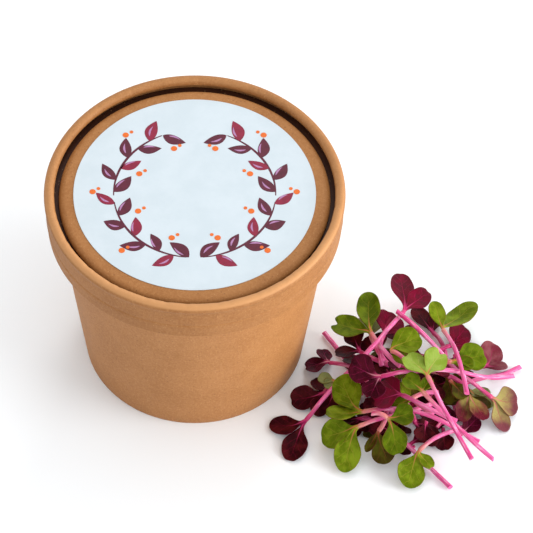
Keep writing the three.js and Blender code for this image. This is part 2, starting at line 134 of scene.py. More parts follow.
# Each shown sprout in the order in which it lies on the heap, lowest first: leaf colour, cut end, node
# where the leaves part, first leaf tip, second leaf tip, half widths of the two blades, sideways bow of
# the stem, depth of the notch at each leaf's tip, and 2 where stem and leaves are separate pieces or 1
# where they are fused.
SHOWN = [
    ("dark", (71, -37.5), (66, -38.5), (59.5, -42.5), (63.5, -44.5), (3.4, 3), 0.4, (0.3, 0), 1),
    ("dark", (70.5, -31), (61.5, -36), (54.5, -37), (56, -42.5), (3.4, 3.2), 0.6, (0, 0.3), 1),
    ("dark", (66.5, -35.5), (56.5, -39), (46, -39), (51, -42.5), (3.2, 3.2), 0.8, (0.3, 0), 1),
    ("dark", (67.5, -16), (70.5, -5.5), (66, 1.5), (75.5, 1.5), (3.6, 3.2), 0.8, (0, 0), 1),
    ("dark", (44, 0), (61.5, -30.5), (58.5, -39.5), (70, -32.5), (3.6, 3.2), 0.6, (0, 0), 1),
    ("dark", (68, -29.5), (73.5, -40.5), (82, -46), (84.5, -36), (3.8, 3.2), 0.8, (0.6, 0), 1),
    ("dark", (85, -64), (65.5, -44.5), (58.5, -41), (65.5, -37.5), (3.8, 3.4), -0.8, (0.5, 0), 2),
    ("olive", (64, -38), (61.5, -46), (64.5, -56), (57, -52.5), (4.1, 1.8), 0.8, (0, 0), 1),
    ("green", (93.5, -38), (75, -52), (70.5, -64.5), (79, -58), (4.7, 2.6), -1, (0, 0.5), 2),
    ("green", (80, -34.5), (55, -45), (42, -46.5), (49, -58), (4.8, 4.9), 1.2, (0.3, 0), 1),
    ("dark", (53, -26), (46.5, -25), (40, -19.5), (41.5, -29), (3.4, 3.2), -0.6, (0.2, 0), 1),
    ("dark", (54, -19), (44, -26.5), (32, -29), (41, -34.5), (4, 3.6), -0.8, (0.5, 0), 1),
    ("pale", (54.5, -25.5), (47.5, -24.5), (41.5, -22.5), (43.5, -26), (2.4, 2), 0.4, (0, 0), 1),
    ("purple", (57, -19), (46, -15), (37, -15.5), (43, -8), (4, 3), 0.8, (0.6, 0.3), 1),
    ("dark", (54, -19), (37.5, -37.5), (25, -39), (31.5, -53), (4.4, 4.7), 0.5, (0, 0.3), 2),
    ("dark", (75, -25), (71, -19.5), (65.5, -14), (71.5, -11.5), (3.7, 3.4), 0.6, (0.4, 0), 1),
    ("dark", (88, -33), (84, -25), (81.5, -16.5), (78.5, -21), (3.4, 3), -0.5, (0.2, 0), 1),
    ("dark", (68.5, -31.5), (66, -24.5), (62.5, -13.5), (59.5, -20), (3.6, 3.2), -0.5, (0, 0.3), 1),
    ("dark", (67.5, -22.5), (62.5, -15.5), (56.5, -9.5), (62, -7), (3.4, 3), 0.8, (0.3, 0), 1),
    ("dark", (65.5, -22.5), (56, -15.5), (52.5, -5.5), (47, -16), (3.4, 3.6), 1, (0.2, 0.4), 1),
    ("pale", (63.5, -22), (59.5, -10.5), (54.5, -4), (62.5, -3.5), (3.2, 2.6), 0.6, (0, 0), 1),
    ("purple", (62.5, -25.5), (63.5, -12), (65.5, -2), (70, -4), (3.9, 3), 0.8, (0.4, 0), 1),
    ("dark", (85, -11.5), (81.5, -0.5), (75, 10.5), (82.5, 7), (3.2, 2.4), -1.2, (0, 0), 1),
    ("purple", (74.5, -16.5), (86, -7.5), (92.5, 1), (93, -6.5), (3.9, 2.8), 1, (0.3, 0), 1),
    ("pale", (83.5, -20.5), (92, -24.5), (100.5, -30.5), (100, -25), (2.8, 2.4), 0.8, (0, 0), 1),
    ("dark", (110.5, -14.5), (87.5, -25.5), (79.5, -28.5), (80.5, -20.5), (3, 2.8), 0.6, (0, 0), 1),
    ("olive", (74.5, -20.5), (84, -22.5), (87.5, -33), (91, -26), (4, 3), 1, (0.8, 0.5), 1),
    ("olive", (79.5, -41.5), (74, -37), (68.5, -30), (73, -30.5), (2.8, 2.4), 0.4, (0, 0), 1),
    ("green", (81.5, -34), (72.5, -37), (65, -39), (68, -31), (3.2, 2.6), -1, (0, 0), 1),
    ("green", (95, -47.5), (56.5, -40.5), (48.5, -25), (43.5, -39), (4.9, 5), -1, (0.2, 0.4), 2),
    ("mixed", (85.5, -24.5), (91.5, -31), (89, -40.5), (97.5, -40), (3, 3.7), 0.8, (0, 0.3), 1),
    ("purple", (89, -14.5), (98, -15), (102, -5), (106, -16), (4, 3.2), 0.6, (0.3, 0), 1),
    ("purple", (87, -46), (69.5, -37.5), (59, -39.5), (63, -30.5), (3.8, 3.4), 0.6, (0.8, 0.5), 1),
    ("green", (68.5, -27), (59.5, -14), (58.5, 4), (46, -7.5), (4.1, 4.9), 1, (0, 1.9), 1),
    ("green", (72.5, -30.5), (66, -23.5), (75.5, -17.5), (71, -27), (4.6, 2.4), -0.4, (0.3, 0), 1),
    ("purple", (55, -26), (70.5, -2.5), (70, 17), (79.5, 7.5), (4, 3.9), -1.4, (0.3, 0.4), 2),
    ("mixed", (68, -6), (99.5, -31), (109, -30.5), (104.5, -41), (4.8, 3.5), -1, (0.4, 0), 2),
    ("green", (59, -43), (64, -45), (73, -44), (67.5, -56), (4, 4.6), 0.3, (0.4, 0.4), 1),
    ("purple", (107.5, -23.5), (62.5, -32.5), (51.5, -27.5), (58, -39.5), (4.5, 4.6), 1.6, (0.4, 0.6), 2),
    ("green", (78, -25), (85.5, -22.5), (98, -18), (94, -23), (4.8, 2.4), 0.5, (0.6, 0), 1),
    ("green", (90.5, -38.5), (84, -8), (81, 3.5), (95.5, 8.5), (2.9, 4.6), -0.5, (0, 0), 2),
    ("green", (99, -59), (76, -39.5), (69.5, -34), (78.5, -32.5), (3.4, 2.2), 0.8, (0.3, 0), 2),
    ("green", (91.5, -62), (77.5, -35), (70, -27), (82.5, -24.5), (4.1, 4.2), 0.8, (0.6, 1.4), 2),
]

# The sprouts whose leaves have their own shade of their colour, by number
OWN_SHADES = {14: "plum", 32: "dusky", 34: "deep", 37: "tan", 38: "deep", 39: "plum", 40: "deep", 42: "deep",
              43: "fresh"}

# Loose leaves spread low in the heap, which close the gaps between the sprouts
LOOSE = dict(count=40, middle=(71, -28), reach=(26, 21), length=7.5, half=3.7, step=0.4, highest=9.0, turns=7,
             least=0.2, tip=14, roll=16)
LOOSE_COLOURS = ("dark", "dark", "purple", "dark", "plum", "dark", "olive")

# Loose leaves higher in the heap: place, turn in degrees, least height, colour
UPPER = [
    ((62, -22.5), 80, 14, "dark"),
    ((68.5, -23), 120, 14, "plum"),
    ((66, -15), 120, 6, "olive"),
    ((77, -44), 250, 4, "dark"),
    ((55, -18), 160, 4, "dark"),
    ((52, -27), 190, 4, "purple"),
    ((80, -30), 20, 6, "dark"),
    ((88, -30), 330, 5, "olive"),
]


# The frame


def tub_axis():
    """The place of the tub's axis in the frame, in metres."""
    low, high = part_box("tub_wall")
    return Vector(((low.x + high.x) / 2, (low.y + high.y) / 2, 0))


AXIS = tub_axis()


def to_frame(points):
    """Points in millimetres from the tub's axis, as metres in the frame."""
    return np.asarray(points, float) * MILLIMETRE + np.array(AXIS)


def vary(index, trait):
    """A number from 0 to 1 that is different for each sprout and trait, and the same at every run."""
    turns = (index + 1) * 0.618034 + (trait + 1) * 0.324718
    return turns - math.floor(turns)


def smoothstep(value, low, high):
    share = np.clip((value - low) / (high - low), 0, 1)
    return share * share * (3 - 2 * share)


# Meshes


def add_piece(name, points, faces, materials, replaced, face_materials=None, sharp=40, traits=None):
    """A piece of the object from points in the frame, with smooth shading that breaks at sharp edges."""
    mesh = bpy.data.meshes.new(name)
    mesh.from_pydata([tuple(p) for p in points], [], faces)
    mesh.validate()
    mesh.polygons.foreach_set("use_smooth", [True] * len(mesh.polygons))
    mesh.set_sharp_from_angle(angle=math.radians(sharp))
    for material in materials:
        mesh.materials.append(material)
    if face_materials is not None:
        mesh.polygons.foreach_set("material_index", face_materials)
    for trait, vectors in (traits or {}).items():
        attribute = mesh.attributes.new(trait, "FLOAT_VECTOR", "POINT")
        attribute.data.foreach_set("vector", np.asarray(vectors, np.float32).ravel())
    piece = bpy.data.objects.new(name, mesh)
    bpy.context.scene.collection.objects.link(piece)
    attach(piece, "root")
    if replaced:
        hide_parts(*replaced)
    return piece


def tube_faces(rings, sides, ended):
    """Faces of a tube from rings of points. It closes on itself, or ends in two poles after its points."""
    faces = []
    for i in range(rings - 1 if ended else rings):
        below = i * sides
        above = (i + 1) % rings * sides
        for j in range(sides):
            after = (j + 1) % sides
            faces.append((below + j, below + after, above + after, above + j))
    if ended:
        pole = rings * sides
        last = pole - sides
        for j in range(sides):
            after = (j + 1) % sides
            faces.append((pole, after, j))
            faces.append((last + j, last + after, pole + 1))
    return faces


def lathe(profile, segments, shape=None):
    """Points and faces of a body turned about the axis from its profile of (radius, height) points.

    A profile that starts on the axis also ends there, and any other closes on itself. shape() may
    change the radii and heights, given those and the angles.
    """
    profile = np.array(profile, float)
    solid = profile[0, 0] == 0
    body = profile[1:-1] if solid else profile
    angles = np.arange(segments) * (2 * np.pi / segments)
    radius = np.repeat(body[:, :1], segments, axis=1)
    height = np.repeat(body[:, 1:], segments, axis=1)
    if shape:
        radius, height = shape(radius, height, angles)
    points = np.stack([radius * np.cos(angles), radius * np.sin(angles), height], axis=-1).reshape(-1, 3)
    if solid:
        points = np.vstack([points, (0, 0, profile[0, 1]), (0, 0, profile[-1, 1])])
    return points, tube_faces(len(body), segments, solid)


def disc_profile(radius, low, high, soft_foot, soft_top):
    """Profile of a flat disc with its edges cut off, each by its own amount."""
    foot = [(radius - soft_foot, low), (radius, low + soft_foot)]
    top = [(radius, high - soft_top), (radius - soft_top, high)]
    return [(0, low), *foot, *top, (0, high)]


def arc(radius, height, roll, start, end, steps):
    """Profile points on a circular arc, with its ends in degrees from straight out."""
    turns = np.radians(np.linspace(start, end, steps + 1))
    return [(radius + roll * math.cos(t), height + roll * math.sin(t)) for t in turns]


def between(start, end, steps):
    """Profile points on a straight line, without its two ends."""
    shares = np.arange(1, steps) / steps
    return [(start[0] + (end[0] - start[0]) * s, start[1] + (end[1] - start[1]) * s) for s in shares]


# Materials


def linear(red, green, blue):
    """A colour as it is seen, from 0 to 255, as the linear values that a shader takes."""
    seen = np.array([red, green, blue]) / 255
    values = np.where(seen <= 0.04045, seen / 12.92, ((seen + 0.055) / 1.055) ** 2.4)
    return (*values.tolist(), 1.0)


def wire(tree, socket, value):
    if isinstance(value, bpy.types.NodeSocket):
        tree.links.new(value, socket)
    else:
        socket.default_value = value


def add_node(tree, kind, inputs, output=0, **settings):
    """An output of a new shader node with these inputs and settings."""
    node = tree.nodes.new("ShaderNode" + kind)
    for setting, value in settings.items():
        setattr(node, setting, value)
    for socket, value in inputs.items():
        wire(tree, node.inputs[socket], value)
    return node.outputs[output]


def calculate(tree, operation, *values):
    return add_node(tree, "Math", dict(enumerate(values)), operation=operation)


def times(tree, value, factor):
    return calculate(tree, "MULTIPLY", value, factor)


def plus(tree, value, more):
    return calculate(tree, "ADD", value, more)


def mix(tree, share, low, high):
    return add_node(tree, "Mix", {0: share, 6: low, 7: high}, 2, data_type="RGBA")


def spread(tree, value, low, high, to_low=0.0, to_high=1.0):
    """The value, mapped smoothly from the range low to high."""
    inputs = dict(enumerate((value, low, high, to_low, to_high)))
    return add_node(tree, "MapRange", inputs, interpolation_type="SMOOTHSTEP")


def stretched(tree, vector, scale, turn):
    return add_node(tree, "Mapping", dict(Vector=vector, Scale=scale, Rotation=turn))


def noise(tree, vector, scale, detail=2.0, roughness=0.5, distortion=0.0):
    inputs = dict(Vector=vector, Scale=scale, Detail=detail, Roughness=roughness, Distortion=distortion)
    return add_node(tree, "TexNoise", inputs, "Fac")


def apart(tree, vector):
    """The three numbers of a vector."""
    return add_node(tree, "SeparateXYZ", {0: vector}).node.outputs


def specks(tree, vector, scale, size, share):
    """1 inside round specks of about the given size in cells, in that share of the cells."""
    cells = add_node(tree, "TexVoronoi", dict(Vector=vector, Scale=scale)).node.outputs
    inside = spread(tree, cells["Distance"], size, size * 0.5)
    drawn = add_node(tree, "SeparateColor", {0: cells["Color"]})
    return times(tree, inside, calculate(tree, "LESS_THAN", drawn, share))


def bump(tree, shader, height, distance, strength=1.0):
    inputs = dict(Height=height, Distance=distance, Strength=strength)
    wire(tree, shader.inputs["Normal"], add_node(tree, "Bump", inputs))


def trait(tree, name):
    """The three numbers of a vector that is stored at the points of the mesh, and the vector."""
    vector = add_node(tree, "Attribute", {}, "Vector", attribute_name=name)
    return (*apart(tree, vector), vector)


def new_material(name, roughness, specular=0.3):
    material = bpy.data.materials.new(name)
    material.use_nodes = True
    tree = material.node_tree
    shader = tree.nodes["Principled BSDF"]
    shader.inputs["Roughness"].default_value = roughness
    shader.inputs["Specular IOR Level"].default_value = specular
    place = tree.nodes.new("ShaderNodeTexCoord").outputs["Object"]
    return material, tree, shader, place


def let_light_in(shader, weight, radius, scale):
    """Lets light through the outer layer of a plant."""
    shader.inputs["Subsurface Weight"].default_value = weight
    shader.inputs["Subsurface Radius"].default_value = radius
    shader.inputs["Subsurface Scale"].default_value = scale


def painted_highlight_share(tree, place):
    """How much painted highlight lightens the top of the bead: most at the front."""
    _, depth, height = apart(tree, place)
    highlight_from = (LID["top"] - BEAD_HIGHLIGHT["deep"]) * MILLIMETRE
    highlight = spread(tree, height, highlight_from, highlight_from + BEAD_HIGHLIGHT["fade"] * MILLIMETRE)
    return times(tree, highlight, spread(tree, depth, BEAD_HIGHLIGHT["back"], BEAD_HIGHLIGHT["front"], BEAD_HIGHLIGHT["least"], BEAD_HIGHLIGHT["most"]))


def kraft_material(kind):
    """Unbleached paper board: cloudy brown with short fibres and dark and light flecks."""
    shade, deep, pale = [linear(*seen) for seen in KRAFT[kind]]
    material, tree, shader, place = new_material("kraft_" + kind, 0.62)
    cloud = noise(tree, place, 75, 4, 0.6)
    grain = noise(tree, place, 1300, 3, 0.7)
    colour = mix(tree, spread(tree, cloud, 0.25, 0.75), shade, deep)
    colour = mix(tree, spread(tree, grain, 0.35, 0.75, 0, 0.5), colour, pale)
    fibres = []
    for turn in ((0.3, 0.5, 0.2), (1.4, 0.2, 1.1), (0.8, 1.3, 2.2)):
        fibres.append(noise(tree, stretched(tree, place, (2300, 2300, 330), turn), 1, 1))
    dark_fibres = spread(tree, calculate(tree, "MINIMUM", fibres[0], fibres[1]), 0.36, 0.24, 0, 0.45)
    colour = mix(tree, dark_fibres, colour, deep)
    light_fibres = spread(tree, calculate(tree, "MAXIMUM", fibres[1], fibres[2]), 0.66, 0.8, 0, 0.5)
    colour = mix(tree, light_fibres, colour, pale)
    dark_flecks = times(tree, specks(tree, place, 700, 0.22, 0.4), 0.4)
    colour = mix(tree, dark_flecks, colour, linear(84, 50, 24))
    light_flecks = times(tree, specks(tree, place, 900, 0.22, 0.3), 0.22)
    colour = mix(tree, light_flecks, colour, linear(226, 182, 128))
    # The lid's bead gets a painted highlight along its top
    if kind == "lid":
        colour = mix(tree, painted_highlight_share(tree, place), colour, linear(206, 150, 98))
    wire(tree, shader.inputs["Base Color"], colour)
    bump(tree, shader, plus(tree, grain, fibres[2]), 0.00012, 0.5)
    return material


def label_material():
    """Smooth pale blue paper with faint cloudiness."""
    material, tree, shader, place = new_material("label_paper", 0.55)
    cloud = noise(tree, place, 120, 3, 0.6)
    colour = mix(tree, spread(tree, cloud, 0.3, 0.7), linear(198, 210, 217), linear(204, 215, 222))
    fleck = times(tree, noise(tree, place, 1600, 2), 0.12)
    colour = mix(tree, fleck, colour, linear(180, 198, 210))
    wire(tree, shader.inputs["Base Color"], colour)
    bump(tree, shader, noise(tree, place, 2500, 2), 0.00003, 0.4)
    return material


def ink_material(ink):
    """Printed ink with slightly uneven cover."""
    shade, deep = [linear(*seen) for seen in INKS[ink]]
    material, tree, shader, place = new_material("ink_" + ink, 0.45)
    cover = noise(tree, place, 700, 4, 0.7)
    wire(tree, shader.inputs["Base Color"], mix(tree, spread(tree, cover, 0.3, 0.7), shade, deep))
    return material


def coir_material():
    """Pressed coconut fibre."""
    material, tree, shader, place = new_material("coir", 0.95, 0.1)
    strands = noise(tree, stretched(tree, place, (900, 900, 150), (0.4, 0.9, 0)), 1, 5, 0.7, 1.5)
    grit = noise(tree, place, 700, 4, 0.7)
    colour = mix(tree, spread(tree, strands, 0.35, 0.65), linear(60, 38, 26), linear(128, 92, 60))
    colour = mix(tree, spread(tree, grit, 0.5, 0.8, 0, 0.6), colour, linear(40, 26, 18))
    wire(tree, shader.inputs["Base Color"], colour)
    bump(tree, shader, plus(tree, strands, grit), 0.0008)
    return material


def sachet_material():
    """Plain off-white paper with soft folds."""
    material, tree, shader, place = new_material("sachet_paper", 0.7)
    folds = noise(tree, place, 90, 3, 0.5, 0.6)
    wire(tree, shader.inputs["Base Color"], mix(tree, folds, linear(214, 206, 188), linear(236, 230, 216)))
    bump(tree, shader, folds, 0.0006)
    return material


def stem_colour(tree, along, across, seed, node_shade):
    """Pink of a stem in long fine streaks, which turns into another shade towards the leaves.

    along is in millimetres from the node where the leaves part, and negative on the stem.
    """
    place = add_node(tree, "CombineXYZ", {0: times(tree, along, 0.12), 1: across, 2: seed})
    streaks = noise(tree, place, 1.9, 3, 0.6)
    flush = noise(tree, place, 0.5, 1)
    colour = mix(tree, spread(tree, flush, 0.3, 0.7), linear(200, 52, 122), linear(226, 108, 162))
    colour = mix(tree, spread(tree, streaks, 0.47, 0.72, 0, 0.8), colour, linear(242, 176, 206))
    near = plus(tree, along, times(tree, streaks, 9.0))
    node_colour = mix(tree, spread(tree, streaks, 0.5, 0.75, 0, 0.5), node_shade, linear(236, 176, 156))
    return mix(tree, spread(tree, near, -4.0, 6.5, 0.0, 0.8), colour, node_colour)


def stem_material(name, node_shade):
    """Juicy stem: pink, with its own shade where the leaves part, and moist where it is cut."""
    material, tree, shader, _ = new_material(name, 0.33)
    along, across, seed, _ = trait(tree, "place")
    _, cut, _, _ = trait(tree, "part")
    colour = stem_colour(tree, along, across, seed, linear(*node_shade))
    wire(tree, shader.inputs["Base Color"], mix(tree, cut, colour, linear(222, 96, 152)))
    let_light_in(shader, 0.25, (1.0, 0.25, 0.5), 0.0007)
    return material


def side_veins(tree, place, along, across, away, share, edge):
    """How much of each side vein shows. The veins slant to the tip and fade towards the rim."""
    wander = times(tree, noise(tree, place, 0.7, 2), 1.6)
    chevron = plus(tree, calculate(tree, "SUBTRACT", along, times(tree, away, 1.05)), wander)
    other_side = calculate(tree, "GREATER_THAN", across, 0.0)
    chevron = plus(tree, chevron, times(tree, other_side, 1.1))
    veins = spread(tree, calculate(tree, "PINGPONG", chevron, 1.5), 0.2, 0.02)
    veins = times(tree, times(tree, veins, spread(tree, edge, 0.3, 1.6)), 0.45)
    return times(tree, veins, spread(tree, share, 0.3, 0.5))


def midrib(tree, away, share):
    """How much of the midrib shows. It narrows towards the tip."""
    width = spread(tree, share, 0.15, 0.8, 0.34, 0.1)
    rib = spread(tree, calculate(tree, "DIVIDE", away, width), 1.0, 0.25)
    return times(tree, rib, spread(tree, share, 1.0, 0.7, 0.0, 0.75))


def stalk_colour(tree, along, across, away, seed, node_shade, stalk, stripe):
    """A stalk with a stripe along its middle, which takes on the stem's colour at the node."""
    width = plus(tree, 0.3, times(tree, along, 0.04))
    off_stripe = calculate(tree, "DIVIDE", away, width)
    colour = mix(tree, spread(tree, off_stripe, 0.1, 1.0), stripe, stalk)
    pink = stem_colour(tree, along, across, seed, node_shade)
    return mix(tree, spread(tree, along, 2.2, 0.0, 0.0, 0.9), colour, pink)


def leaf_material(name, node_shade, shade, second, vein, rim, under, stalk, stripe, second_from=None,
                  stalk_to=0.36):
    """A seed leaf: a striped stalk, a blade in two tones with its midrib and side veins, and a thin rim.

    The second tone comes in clouds, or from second_from of the length on to the tip. The stalk's own
    colours end at stalk_to of the length.
    """
    seen = (node_shade, shade, second, vein, rim, under, stalk, stripe)
    node_shade, shade, second, vein, rim, under, stalk, stripe = [linear(*colour) for colour in seen]
    material, tree, shader, _ = new_material(name, 0.36, 0.05)
    along, across, seed, place = trait(tree, "place")
    share, edge, below, _ = trait(tree, "part")
    away = calculate(tree, "ABSOLUTE", across)
    cloud = noise(tree, place, 0.26, 3, 0.55)
    if second_from is None:
        second_share = spread(tree, cloud, 0.38, 0.66)
    else:
        reach = plus(tree, share, times(tree, cloud, 0.9))
        second_share = spread(tree, reach, second_from + 0.12, second_from + 0.7)
    colour = mix(tree, second_share, shade, second)
    fine = noise(tree, place, 2.2, 3, 0.6)
    colour = mix(tree, spread(tree, fine, 0.45, 0.8, 0, 0.2), colour, vein)
    reach = plus(tree, plus(tree, share, times(tree, away, 0.045)), times(tree, cloud, 0.1))
    stalk_share = spread(tree, reach, stalk_to + 0.05, stalk_to - 0.18)
    on_stalk = stalk_colour(tree, along, across, away, seed, node_shade, stalk, stripe)
    colour = mix(tree, stalk_share, colour, on_stalk)
    veins = side_veins(tree, place, along, across, away, share, edge)
    colour = mix(tree, veins, colour, vein)
    rib_shade = mix(tree, spread(tree, share, 0.25, 0.6), stripe, vein)
    colour = mix(tree, midrib(tree, away, share), colour, rib_shade)
    rim_share = times(tree, spread(tree, edge, 0.3, 0.06), 0.6)
    colour = mix(tree, times(tree, rim_share, spread(tree, share, 0.3, 0.5)), colour, rim)
    colour = mix(tree, times(tree, below, 0.45), colour, under)
    wire(tree, shader.inputs["Base Color"], colour)
    bump(tree, shader, plus(tree, times(tree, veins, -0.8), fine), 0.0002, 0.5)
    let_light_in(shader, 0.12, (1.0, 0.7, 0.3), 0.0005)
    return material


def green_leaf(name, shade, second, vein, rim=(112, 84, 30), stalk=(138, 138, 34), stripe=(192, 108, 74)):
    """A leaf of the green kinds, whose stalk is yellow-green with an orange-pink stripe."""
    return leaf_material(name, SALMON, shade, second, vein, rim, (112, 130, 52), stalk, stripe)


def red_leaf(name, shade, second, vein, rim, under, stalk=(166, 34, 92), stripe=(196, 66, 116), **reaches):
    """A leaf of the red kinds, whose stalk is magenta with a paler stripe."""
    return leaf_material(name, MAGENTA, shade, second, vein, rim, under, stalk, stripe, **reaches)


def leaf_materials():
    return dict(
        green=green_leaf("leaf_green", (82, 100, 3), (116, 136, 24), (140, 132, 42)),
        deep=green_leaf("leaf_deep_green", (64, 82, 0), (94, 114, 12), (122, 118, 30)),
        fresh=green_leaf("leaf_fresh_green", (134, 156, 66), (116, 140, 42), (158, 156, 82)),
        pale=green_leaf("leaf_pale", (120, 130, 80), (136, 140, 84), (156, 148, 100),
                        stalk=(146, 132, 74)),
        olive=green_leaf("leaf_olive", (58, 48, 5), (80, 80, 12), (116, 62, 36), (88, 32, 24),
                         (130, 84, 46), (150, 70, 50)),
        mixed=red_leaf("leaf_mixed", (134, 122, 60), (86, 18, 32), (130, 40, 56), (104, 26, 46),
                       (120, 66, 74), (160, 96, 80), (196, 96, 112), second_from=0.62, stalk_to=0.28),
        tan=red_leaf("leaf_tan", (150, 138, 80), (108, 54, 62), (140, 70, 70), (120, 50, 60),
                     (128, 80, 80), (170, 110, 84), (196, 96, 104), second_from=0.7, stalk_to=0.28),
        purple=red_leaf("leaf_purple", (108, 12, 38), (86, 22, 36), (150, 14, 66), (108, 10, 42),
                        (124, 32, 68)),
        plum=red_leaf("leaf_plum", (74, 10, 30), (46, 4, 16), (132, 22, 72), (96, 10, 44), (110, 34, 70),
                      (176, 60, 104), (212, 140, 156), stalk_to=0.42),
        dusky=red_leaf("leaf_dusky", (104, 36, 48), (126, 70, 74), (136, 24, 70), (112, 20, 52),
                       (124, 50, 74)),
        dark=red_leaf("leaf_dark", (44, 3, 10), (76, 16, 20), (108, 10, 42), (84, 6, 30), (90, 20, 42)),
    )


# Tub


def uneven(radius, height, angles, size):
    """Radii with the slight waviness of wound paper."""
    wave = np.sin(2 * angles + 0.8) + 0.6 * np.sin(3 * angles + height / 30)
    return radius + size * (wave + 0.35 * np.sin(5 * angles + 2.1))


def tub_shape(radius, height, angles):
    """A wavy wall, and the step where the wound paper's outer end is glued down."""
    free = smoothstep(height, 1, 20) * smoothstep(-height, -74, -66)
    radius = uneven(radius, height, angles, TUB["wave"] * free)
    past = np.degrees(angles) - SEAM["turn"]
    on_seam = (past > 0) & (past < SEAM["reach"])
    lap = np.where(on_seam, SEAM["step"] * smoothstep(-past, -SEAM["reach"], -SEAM["level"]), 0)
    outer = radius > TUB["foot_radius"] + TUB["wall_lean"] * height - 0.5
    return radius + lap * outer * (height < TUB["rim_height"] + 0.8), height


def add_tub(board):
    lean = TUB["wall_lean"]
    foot = TUB["foot_radius"]
    wall = TUB["wall"]
    neck = TUB["rim_height"] - TUB["rim_roll"]
    inner_foot = foot - TUB["foot_width"]

    def outside(height):
        return (foot + lean * height, height)

    def inside(height):
        return (foot + lean * height - wall, height)

    profile = [
        (inner_foot + 0.25, 0),
        (foot - 0.3, 0),
        (foot - 0.08, 0.08),
        outside(0.35),
        *between(outside(0.35), outside(neck), 20),
        outside(neck),
        *arc(foot + lean * neck - 0.1, TUB["rim_height"], TUB["rim_roll"], -60, 210, 16),
        inside(neck - 1),
        inside(TUB["foot_height"] + 0.6),
        (inner_foot, TUB["foot_height"]),
        (inner_foot, 0.25),
    ]
    points, faces = lathe(profile, TUB_SEGMENTS, tub_shape)
    add_piece("tub_body", to_frame(points), faces, [board], ["tub_wall"])
    low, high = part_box("tub_base")
    radius = (high.x - low.x) / 2 / MILLIMETRE
    disc = disc_profile(radius, low.z / MILLIMETRE, high.z / MILLIMETRE, 0.3, 0.3)
    points, faces = lathe(disc, TUB_SEGMENTS)
    add_piece("tub_floor", to_frame(points), faces, [board], ["tub_base"])


def bead_creases():
    """Places in degrees, widths in degrees and depths in millimetres of the creases in the rolled bead."""
    creases = []
    for k in range(BEAD["creases"]):
        turn = (k + 0.75 * vary(k, 2)) * 360 / BEAD["creases"]
        width = BEAD["least_width"] + BEAD["more_width"] * vary(k, 5)
        depth = BEAD["least_depth"] + BEAD["more_depth"] * vary(k, 8)
        creases.append((turn, width, depth))
    return creases


def lid_shape(radius, height, angles):
    """A wavy skirt, and a bead that is creased on its inner side where the paper was rolled over."""
    radius = uneven(radius, height, angles, LID["wave"])
    bead_radius = LID["radius"] - LID["bead_roll"]
    bead_height = LID["top"] - LID["bead_roll"]
    on_bead = (height > bead_height - 0.4) * smoothstep(bead_radius + 1.4 - radius, 0, 1.6)
    turn = np.degrees(angles)
    dent = np.zeros_like(radius)
    for place, width, depth in bead_creases():
        past = (turn - place + 180) % 360 - 180
        dent = dent + depth * np.exp(-((past / width) ** 2))
    wave = 0.05 * np.sin(17 * angles + 1) + 0.04 * np.sin(41 * angles)
    height = height - on_bead * (dent + wave * 0.6)
    return radius + on_bead * dent * 0.7, height


def add_lid_ring(board):
    bead_radius = LID["radius"] - LID["bead_roll"]
    bead_height = LID["top"] - LID["bead_roll"]
    foot = LID["skirt_foot"]
    foot_radius = LID["skirt_foot_radius"]
    crease = LID["crease_height"]
    crease_radius = LID["crease_radius"]
    inner = foot_radius - LID["board"]
    bead = arc(bead_radius, bead_height, LID["bead_roll"], BEAD["neck_turn"], BEAD["end_turn"], 30)
    profile = [
        (inner + 0.15, foot),
        (foot_radius - 0.2, foot),
        (foot_radius - 0.02, foot + 0.12),
        (foot_radius + 0.03, foot + 0.4),
        (foot_radius + 0.04, foot + 1),
        *between((foot_radius + 0.04, foot + 1), (crease_radius + 0.05, crease - 0.6), 3),
        (crease_radius + 0.05, crease - 0.6),
        (crease_radius - 0.02, crease - 0.3),
        (crease_radius - 0.16, crease),
        (crease_radius - 0.12, crease + 0.3),
        (crease_radius - 0.02, crease + 0.7),
        *between((crease_radius - 0.02, crease + 0.7), bead[0], 5),
        *bead,
        (inner, bead_height - 2.4),
        (inner, foot + 0.15),
    ]
    points, faces = lathe(profile, LID_SEGMENTS, lid_shape)
    add_piece("lid_skirt", to_frame(points), faces, [board], ["lid_ring"])


def add_lid_panel(panel, groove_shade):
    """The sunk panel with its rounded rim. Low in the groove round it, its faces get painted shade, nearly
    black.
    """
    top = LID["panel_top"]
    edge = LID["panel_radius"]
    thick = LID["panel_thick"]
    flange = LID["flange_top"]
    reach = LID["flange_radius"]
    rim = LID["rounded_radius"]
    rounded = LID["rounding"]
    fall_from = flange + 0.5
    turns = np.radians(np.linspace(0, 90, 12))
    cos, sin = np.cos(turns), np.sin(turns)
    disc = [
        (0, top - thick),
        (edge - thick, top - thick),
        (edge - thick, flange - thick),
        (reach, flange - thick),
        (reach, flange),
        (rim, flange),
        (rim, flange + 0.35),
        *zip(rim - rounded + rounded * cos, fall_from + (top - fall_from) * sin),
        (LABEL["radius"] + 1, top + LID["panel_raised"]),
        (0, top + LID["panel_raised"]),
    ]
    points, faces = lathe(disc, TUB_SEGMENTS)
    # Faces low in the groove take the painted shade
    low = [int(points[list(face), 2].mean() < flange + 0.9) for face in faces]
    add_piece("lid_disc", to_frame(points), faces, [panel, groove_shade], ["lid_panel"], low)


# Label and its printed wreath


def prism(outline, bottom, top):
    """A flat printed shape: its outline as a solid between two heights."""
    count = len(outline)
    points = [(x, y, bottom) for x, y in outline] + [(x, y, top) for x, y in outline]
    faces = [tuple(range(count))[::-1], tuple(range(count, 2 * count))]
    for k in range(count):
        after = (k + 1) % count
        faces.append((k, after, count + after, count + k))
    return points, faces


